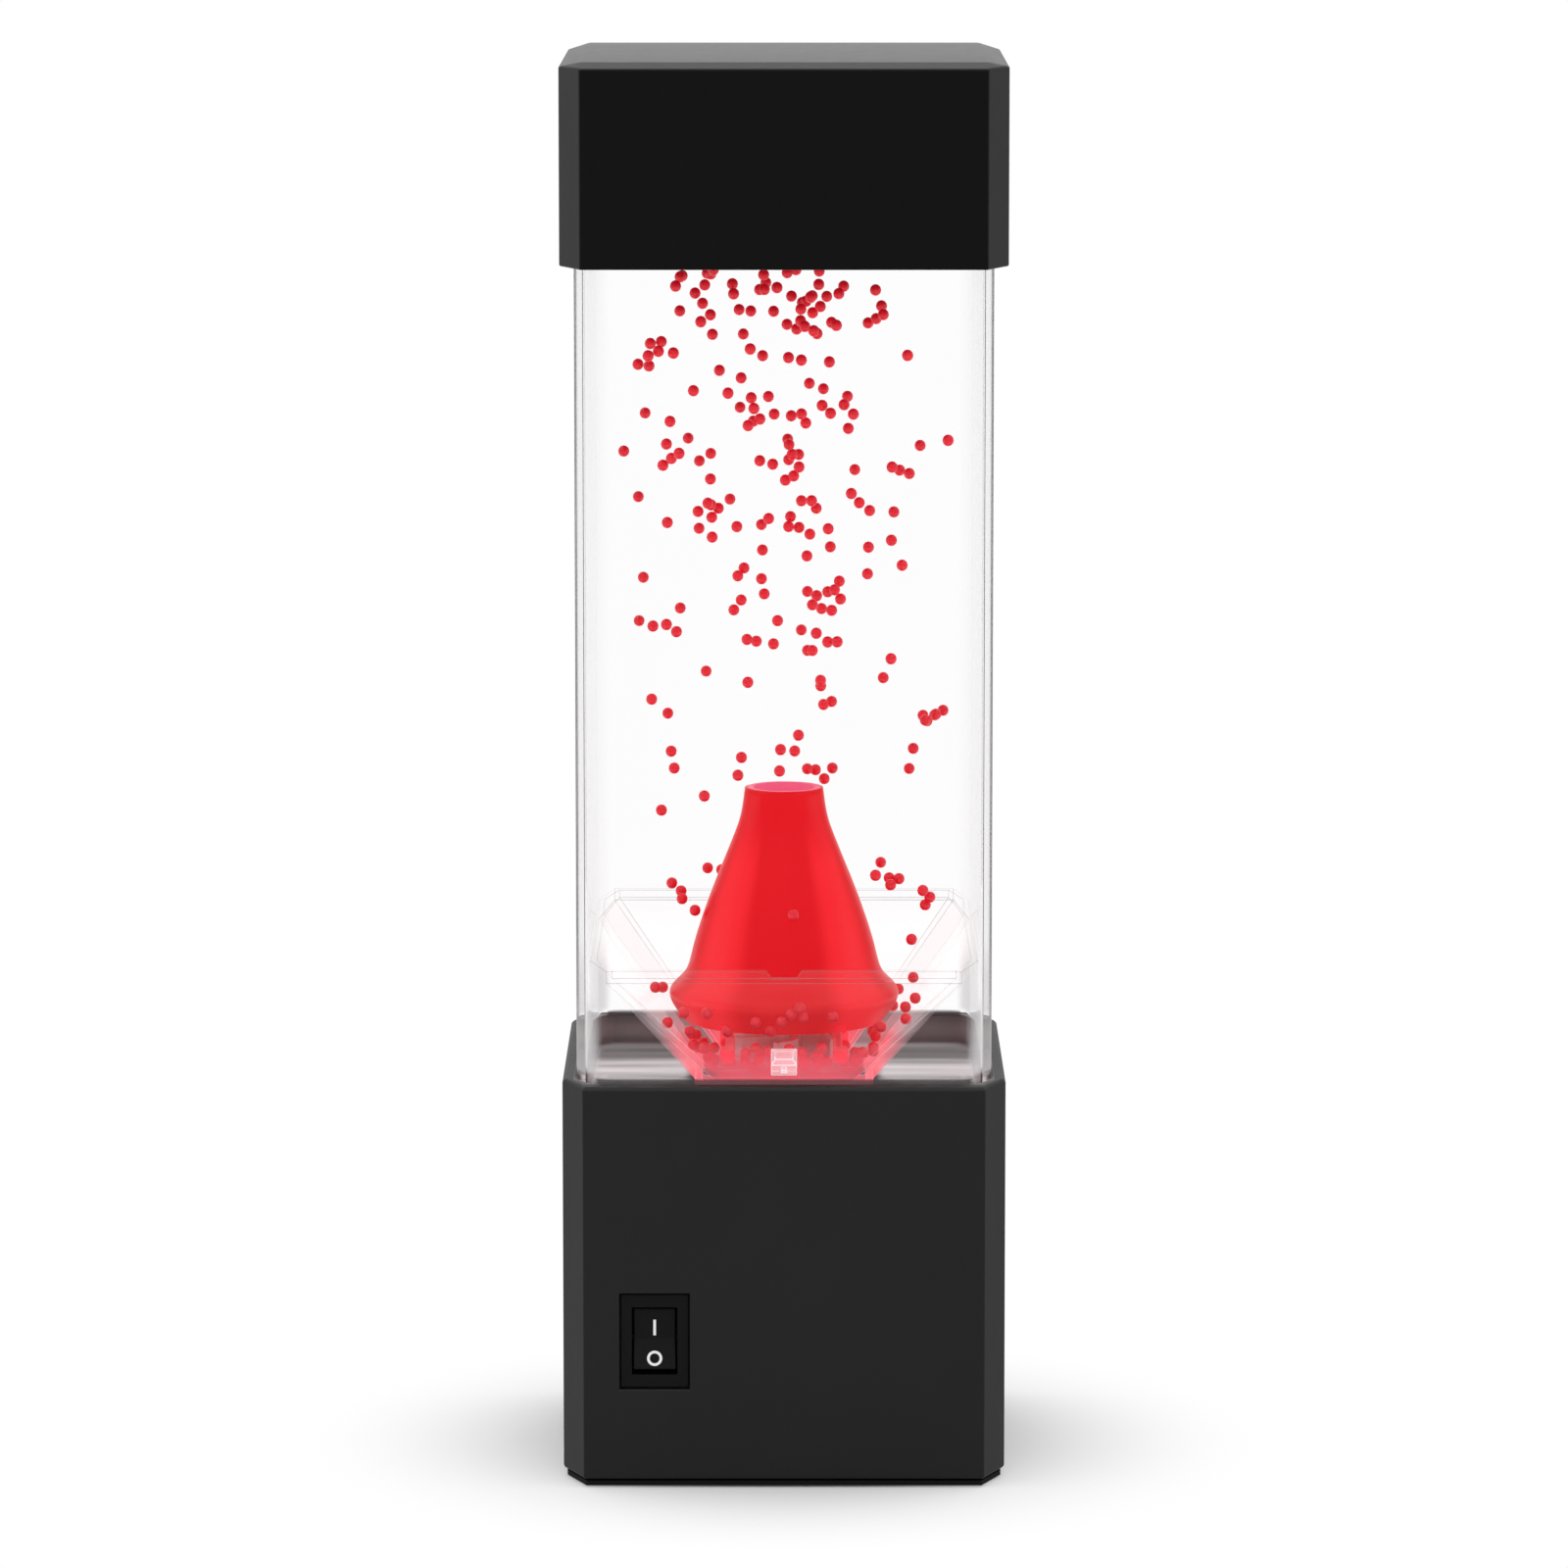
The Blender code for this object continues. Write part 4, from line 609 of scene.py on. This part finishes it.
line = bmesh.new()
bmesh.ops.create_cube(line, size=1)
bmesh.ops.scale(line, vec=(LINE_SIZE[0], MARK_THICKNESS, LINE_SIZE[1]), verts=line.verts)
piece("switch_line_mark", on_the_rocker(line, LINE_UP), MARK_WHITE, "switch_button", "white_plastic")
ring = bmesh.new()
bmesh.ops.create_grid(ring, x_segments=1, y_segments=1, size=0.5)
bmesh.ops.rotate(ring, matrix=UPRIGHT, verts=ring.verts)
bmesh.ops.scale(ring, vec=(RING_WIDTH, 1, MARK_THICKNESS), verts=ring.verts)
bmesh.ops.translate(ring, vec=(RING_RADIUS, 0, 0), verts=ring.verts)
bmesh.ops.delete(ring, geom=ring.faces[:], context="FACES_ONLY")
spun(ring, RING_STEPS)
bmesh.ops.rotate(ring, matrix=UPRIGHT, verts=ring.verts)
piece("switch_ring_mark", on_the_rocker(ring, RING_UP), MARK_WHITE, "switch_button", "white_plastic")

# Tank
TANK_CORNER = (0.0060, 0.0080)
TANK_CORNER_STEPS = 14
TANK_WALL = 0.0016
TANK_FLOOR = 0.0020
low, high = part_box("tank")
tank = bmesh.new()
bottom = plate(tank, high.x, high.y, *TANK_CORNER, low.z, TANK_CORNER_STEPS)
brim = drawn_out(tank, bottom.copy(), (0, 0, high.z - low.z))
bmesh.ops.inset_region(tank, faces=[brim], thickness=TANK_WALL, use_even_offset=True)
drawn_out(tank, brim, (0, 0, low.z + TANK_FLOOR - high.z))
piece("tank_wall", tank, TANK_CLEAR, "lamp_body", "clear_plastic", "tank", smooth=SOFT)

# Funnel
LIP = (0.0309, 0.0301, 0.0030, 0.0080)
LIP_INSIDE = (0.0297, 0.0289, 0.00263, 0.00702)
COLLAR = (0.0143, 0.0143, 0.0037, 0.0037)
MOUTH = (0.0131, 0.0131, 0.0030, 0.0030)
FUNNEL_FOOT = 0.0596
SLOPE_FOOT = 0.0619
SLOPE_TOP = 0.0806
FUNNEL_RIM = 0.0819
BACK_RISE = 0.0038
HALF_WALL = 0.0006
NOTCH_HALF = 0.00285
NOTCH_FOOT_HALF = 0.0020
NOTCH_DEPTH = 0.0012
FUNNEL_ROUNDING = 0.00030
FRONT_LIP = (-0.0280, 0.0795)
CORNER_NORMAL = 0.20
EDGE_FINISH = 1
CORNER_FINISH = 2
SLACK = 1e-5


def level(place):
    """The foot of the funnel rises nowhere."""
    return 0.0


def by_slope(place):
    """Where the slopes end: the sides half as much higher as the back."""
    if abs(place.y) < LIP_INSIDE[1] - SLACK:
        return BACK_RISE / 2
    return BACK_RISE if place.y > 0 else 0.0


def along_the_rim(place):
    """The top of the lip rises evenly to the back."""
    return BACK_RISE * (place.y + LIP[1]) / (2 * LIP[1])


funnel = bmesh.new()
sections = (
    (COLLAR, FUNNEL_FOOT, level),
    (COLLAR, SLOPE_FOOT - HALF_WALL, level),
    (LIP, SLOPE_TOP - HALF_WALL, by_slope),
    (LIP, FUNNEL_RIM, along_the_rim),
    (LIP_INSIDE, FUNNEL_RIM, along_the_rim),
    (LIP_INSIDE, SLOPE_TOP, by_slope),
    (MOUTH, SLOPE_FOOT, level),
    (MOUTH, FUNNEL_FOOT, level),
)
loops = []
for section, z, rise in sections:
    face = plate(funnel, *section, z)
    for point in face.verts:
        point.co.z += rise(point.co)
    loops.append(face.edges[:])
    bmesh.ops.delete(funnel, geom=[face], context="FACES_ONLY")
for near, far in zip(loops, loops[1:] + loops[:1]):
    bmesh.ops.bridge_loops(funnel, edges=near + far)


def at_the_front_lip(face):
    return all(point.co.y < FRONT_LIP[0] and point.co.z > FRONT_LIP[1] for point in face.verts)


for x in (-NOTCH_HALF, -NOTCH_FOOT_HALF, NOTCH_FOOT_HALF, NOTCH_HALF):
    faces = [face for face in funnel.faces if at_the_front_lip(face)]
    around = {item for face in faces for item in (*face.verts, *face.edges)}
    bmesh.ops.bisect_plane(funnel, geom=[*faces, *around], plane_co=(x, 0, 0), plane_no=(1, 0, 0))
notched = [
    point
    for point in funnel.verts
    if point.co.y < 0 and abs(point.co.x) < NOTCH_FOOT_HALF + SLACK and point.co.z > FUNNEL_RIM - SLACK
]
bmesh.ops.translate(funnel, vec=(0, 0, -NOTCH_DEPTH), verts=notched)
bmesh.ops.recalc_face_normals(funnel, faces=funnel.faces)
for face in funnel.faces:
    if min(abs(part) for part in face.normal) > CORNER_NORMAL:
        face.material_index = CORNER_FINISH
for face in rounded(funnel, sharp_edges(funnel), FUNNEL_ROUNDING):
    face.material_index = EDGE_FINISH
bowl = piece("funnel_bowl", funnel, FUNNEL_CLEAR, "lamp_body", "clear_plastic", "funnel", smooth=SOFT)
bowl.data.materials.append(FUNNEL_EDGE)
bowl.data.materials.append(FUNNEL_CORNER)

# Lug on the funnel's front slope, with a pocket over a small hole
LUG_HALF = 0.00205
LUG_LOW = 0.0635
LUG_HIGH = 0.0678
LUG_FRONT = -0.0201
LUG_GAP = 0.00005
LUG_ROUNDING = 0.00016
POCKET_LOW = 0.0652
POCKET_FRAME = 0.0006
POCKET_DEPTH = 0.0016
HOLE_HALF = 0.0004
HOLE_MIDDLE = 0.0644
HOLE_DEPTH = 0.0014
HOLE_FRAME = 0.0001
FACING_FRONT = -0.99
lug = bmesh.new()
bmesh.ops.create_cube(lug, size=2)
for point in lug.verts:
    z = LUG_HIGH if point.co.z > 0 else LUG_LOW
    slope = COLLAR[1] + (LIP[1] - COLLAR[1]) * (z - SLOPE_FOOT + HALF_WALL) / (SLOPE_TOP - SLOPE_FOOT)
    y = LUG_FRONT if point.co.y < 0 else -slope - LUG_GAP
    point.co = (point.co.x * LUG_HALF, y, z)
cuts = [((0, 0, z), (0, 0, 1)) for z in (HOLE_MIDDLE - HOLE_HALF, HOLE_MIDDLE + HOLE_HALF, POCKET_LOW)]
cuts += [((x, 0, 0), (1, 0, 0)) for x in (-HOLE_HALF, HOLE_HALF)]
for place, way in cuts:
    everything = lug.verts[:] + lug.edges[:] + lug.faces[:]
    bmesh.ops.bisect_plane(lug, geom=everything, plane_co=place, plane_no=way)
front = [face for face in lug.faces if face.normal.y < FACING_FRONT]
pocket = [face for face in front if face.calc_center_median().z > POCKET_LOW]
hole_middle = Vector((0, LUG_FRONT, HOLE_MIDDLE))
hole = min(front, key=lambda face: (face.calc_center_median() - hole_middle).length)
bmesh.ops.inset_region(lug, faces=pocket, thickness=POCKET_FRAME, depth=0, use_even_offset=True)
pocket_points = {point for face in pocket for point in face.verts}
bmesh.ops.translate(lug, vec=(0, POCKET_DEPTH, 0), verts=list(pocket_points))
bmesh.ops.inset_region(lug, faces=[hole], thickness=HOLE_FRAME, use_even_offset=True)
bmesh.ops.translate(lug, vec=(0, HOLE_DEPTH, 0), verts=hole.verts)
bmesh.ops.dissolve_limit(lug, angle_limit=FLAT_ANGLE, verts=lug.verts, edges=lug.edges)
for face in rounded(lug, sharp_edges(lug), LUG_ROUNDING):
    face.material_index = EDGE_FINISH
lug_piece = piece("funnel_lug", lug, LUG_CLEAR, "lamp_body", "clear_plastic")
lug_piece.data.materials.append(LUG_EDGE)

# Volcano
VOLCANO_FLANK = (
    (0.0000, 0.0160),
    (0.0013, 0.0171),
    (0.0030, 0.0182),
    (0.0043, 0.0186),
    (0.0054, 0.0182),
    (0.0065, 0.0170),
    (0.0077, 0.0158),
    (0.0093, 0.0152),
    (0.0125, 0.0145),
    (0.0157, 0.0135),
    (0.0189, 0.0124),
    (0.0221, 0.0112),
    (0.0253, 0.0099),
    (0.0300, 0.0080),
    (0.0332, 0.0068),
    (0.0377, 0.0063),
)
VOLCANO_WALL = 0.0014
VOLCANO_STEPS = 64
ROUNDING_LEVELS = 2
CREASE = 0.75
legs_foot, volcano_top = (corner.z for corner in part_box("volcano"))
volcano_foot = volcano_top - VOLCANO_FLANK[-1][0]
cone = bmesh.new()
profile = [(radius, z) for z, radius in VOLCANO_FLANK]
profile += [(radius - VOLCANO_WALL, z) for radius, z in reversed(profile)]
points = [cone.verts.new((radius, 0, volcano_foot + z)) for radius, z in profile]
for pair in zip(points, points[1:] + points[:1]):
    cone.edges.new(pair)
spun(cone, VOLCANO_STEPS)
crease = cone.edges.layers.float.new("crease_edge")
for edge in cone.edges:
    heights = [point.co.z for point in edge.verts]
    if min(heights) > volcano_top - SLACK or max(heights) < volcano_foot + SLACK:
        edge[crease] = CREASE
volcano = piece("volcano_cone", cone, VOLCANO_RED, "lamp_body", "red_plastic", "volcano", smooth=ALL_SMOOTH)
rounding = volcano.modifiers.new("rounding", "SUBSURF")
rounding.levels = rounding.render_levels = ROUNDING_LEVELS

# The volcano's legs, on the front and back slopes
LEG_X = 0.0090
LEG_FRONT = -0.0147
LEG_BACK = 0.0143
LEG = (0.0024, 0.0018, 0.0066)
LEG_ROUNDING = 0.0008
LEG_SEGMENTS = 4
for name, y in (("front", LEG_FRONT + LEG[1] / 2), ("back", LEG_BACK - LEG[1] / 2)):
    legs = bmesh.new()
    for x in (-LEG_X, LEG_X):
        box = bmesh.ops.create_cube(legs, size=1)["verts"]
        bmesh.ops.scale(legs, vec=LEG, verts=box)
        bmesh.ops.translate(legs, vec=(x, y, legs_foot + LEG[2] / 2), verts=box)
    rounded(legs, legs.edges[:], LEG_ROUNDING, LEG_SEGMENTS)
    piece(f"{name}_volcano_legs", legs, LEG_RED, "lamp_body", "red_plastic")

# Beads: a plume over the crater, some that sink beside it and those that have settled in the funnel
BEAD = 0.00094
BEAD_SEGMENTS = (10, 6)
TANK_ROOM = (0.0272, 0.0262)
PLUME_WIDTH = (0.0065, 0.0075)
PLUME_SHIFT = 0.0012
SPREAD_DEEP = 0.024
CLINGING = 0.30
LEG_REACH = (0.0025, 0.0162, 0.003)
SETTLING_TRIES = 60
SLOPE_SHARE = 0.8
SIDE_RISE = (0.0, 0.5, 1.0, 0.5)
THROAT_RADIUS = 0.0120
THROAT_JITTER = 0.3

# Gaps, in radii of a bead: between middles, to the volcano, between clinging beads, off and above a slope
BEADS_APART = 2.02
VOLCANO_GAP = 1.3
CLINGING_GAP = (2.1, 2.7)
OFF_SLOPE = 1.35
ABOVE_SLOPE = 0.85
draw = random.Random(29)
bead_nodes = [f"bead_{i}" for i in range(1, 10)]
swarm = [sum(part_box(node), Vector()) / 2 for node in bead_nodes]


def volcano_radius(z):
    """The volcano's outer radius at one height."""
    above = z - volcano_foot
    for (low, wide), (high, narrow) in zip(VOLCANO_FLANK, VOLCANO_FLANK[1:]):
        if low <= above < high:
            return wide + (narrow - wide) * (above - low) / (high - low)
    return 0.0


def has_room(place):
    """Whether a bead at a place is clear of the other beads, the volcano and its legs."""
    clear_of_beads = all((place - other).length > BEADS_APART * BEAD for other in swarm)
    beside_a_leg = abs(abs(place.x) - LEG_X) < LEG_REACH[0] and abs(place.y) < LEG_REACH[1]
    by_a_leg = beside_a_leg and place.z < volcano_foot + LEG_REACH[2]
    clear_of_volcano = place.xy.length > volcano_radius(place.z) + VOLCANO_GAP * BEAD
    return clear_of_beads and not by_a_leg and clear_of_volcano


def in_the_tank(place):
    return abs(place.x) < TANK_ROOM[0] and abs(place.y) < TANK_ROOM[1]


def plume(count, low, high, tightness, spread, shift=PLUME_SHIFT):
    """Scatters beads between two heights: a share of them close to the axis, the others widely."""
    placed = 0
    while placed < count:
        z = draw.uniform(low, high)
        if placed and draw.random() < CLINGING:
            step = Vector([draw.uniform(-1, 1) for _ in range(3)]).normalized()
            place = draw.choice(swarm[-placed:]) + step * BEAD * draw.uniform(*CLINGING_GAP)
        elif draw.random() < tightness:
            place = Vector((draw.gauss(shift, PLUME_WIDTH[0]), draw.gauss(0, PLUME_WIDTH[1]), z))
        else:
            place = Vector((draw.uniform(-spread, spread), draw.uniform(-SPREAD_DEEP, SPREAD_DEEP), z))
        if in_the_tank(place) and low < place.z < high and has_room(place):
            swarm.append(place)
            placed += 1


def settle(count, low, high, sides):
    """Lets beads lie on some of the funnel's slopes, which are front, right, back and left."""
    placed = 0
    for _ in range(SETTLING_TRIES * count):
        z = draw.uniform(low, high)
        side = draw.choice(sides)
        top = SLOPE_TOP + BACK_RISE * SIDE_RISE[side]
        half = MOUTH[0] + (LIP_INSIDE[1] - MOUTH[0]) * (z - SLOPE_FOOT) / (top - SLOPE_FOOT)
        along = draw.uniform(-SLOPE_SHARE, SLOPE_SHARE) * half
        out = half - OFF_SLOPE * BEAD
        turn = Matrix.Rotation(math.radians(90) * side, 3, "Z")
        place = turn @ Vector((along, -out, z + ABOVE_SLOPE * BEAD))
        if placed < count and has_room(place):
            swarm.append(place)
            placed += 1


def throat(count, low, high):
    """Beads that have reached the mouth, around the impeller."""
    for i in range(count):
        angle = 2 * math.pi * (i + draw.uniform(-THROAT_JITTER, THROAT_JITTER)) / count
        x = THROAT_RADIUS * math.cos(angle)
        y = THROAT_RADIUS * math.sin(angle)
        swarm.append(Vector((x, y, draw.uniform(low, high))))


plume(56, 0.1795, 0.1915, 0.45, 0.0200)
plume(36, 0.1660, 0.1795, 0.40, 0.0215)
plume(55, 0.1455, 0.1660, 0.35, 0.0262)
plume(30, 0.1310, 0.1455, 0.30, 0.0250)
plume(24, 0.1140, 0.1310, 0.30, 0.0245, 0.0025)
plume(14, 0.1040, 0.1140, 0.20, 0.0240)
plume(18, 0.0830, 0.0960, 0.0, 0.0270)
settle(9, 0.0690, 0.0745, (0,))
settle(7, 0.0690, 0.0750, (1, 2, 3))
settle(18, 0.0628, 0.0665, (0,))
settle(14, 0.0628, 0.0665, (1, 2, 3))
throat(22, 0.0608, 0.0622)
throat(18, 0.0630, 0.0640)
beads = bmesh.new()
for place in swarm:
    bmesh.ops.create_uvsphere(
        beads,
        u_segments=BEAD_SEGMENTS[0],
        v_segments=BEAD_SEGMENTS[1],
        radius=BEAD,
        matrix=Matrix.Translation(place),
    )
piece("bead_swarm", beads, BEAD_RED, "lamp_body", "bead_plastic", *bead_nodes, smooth=ALL_SMOOTH)

# Studio: a white floor that fades into the white around it and can't be seen from below. All is lit evenly,
# but what is mirrored has a dark side behind the camera, with bright boxes above, beside and behind the lamp.
FLOOR_RADIUS = 0.60
FLOOR_SEGMENTS = 128
FLOOR_FADE = (0.025, 0.080)
floor_form = bmesh.new()
bmesh.ops.create_circle(floor_form, cap_ends=True, segments=FLOOR_SEGMENTS, radius=FLOOR_RADIUS)
floor_mesh = bpy.data.meshes.new("floor")
floor_form.to_mesh(floor_mesh)
floor_form.free()
floor = bpy.data.objects.new("floor", floor_mesh)
scene.collection.objects.link(floor)
floor.visible_glossy = False
floor_finish = Finish("floor_white", Specular_IOR_Level=0.0, Roughness=0.9)
cloud = floor_finish.grain(9)
floor_finish.paint(Base_Color=floor_finish.blend((0.96, 0.96, 0.96), (0.975, 0.975, 0.975), cloud))
from_middle = floor_finish.add("VectorMath", {"operation": "LENGTH"}, {0: floor_finish.place()}, 1)
white = floor_finish.add("Emission", {}, {"Strength": 1.0})
faded = floor_finish.mixed(from_middle.rising(*FLOOR_FADE), floor_finish.look(), white)
below = floor_finish.add("NewGeometry", {}, {}, "Backfacing")
unseen = floor_finish.add("BsdfTransparent", {}, {})
floor_mesh.materials.append(floor_finish.show(floor_finish.mixed(below, faded, unseen)))

scene.world = bpy.data.worlds.new("studio")
studio = Nodes(scene.world)
side, depth, up = studio.add("TexCoord", {}, {}, "Generated").parts()
far_half = 0.25 * depth.rising(-0.6, 0.6) * (1 - 0.25 * side)
far_box = 0.7 * depth.rising(0.75, 1.0)
side_boxes = 0.8 * abs(side).rising(0.90, 0.98)
top_box = 0.9 * up.rising(0.35, 0.85)
boxes = 0.06 + far_half + far_box + side_boxes + top_box
mirrored = studio.add("LightPath", {}, {}, "Glossy Depth").rising(0, 1)
mirrored = mirrored * (1 - studio.add("LightPath", {}, {}, "Is Diffuse Ray"))
lit = mirrored * boxes + (1 - mirrored)
studio.feed(studio.tree.nodes["Background"], {"Color": (1, 1, 1, 1), "Strength": lit})
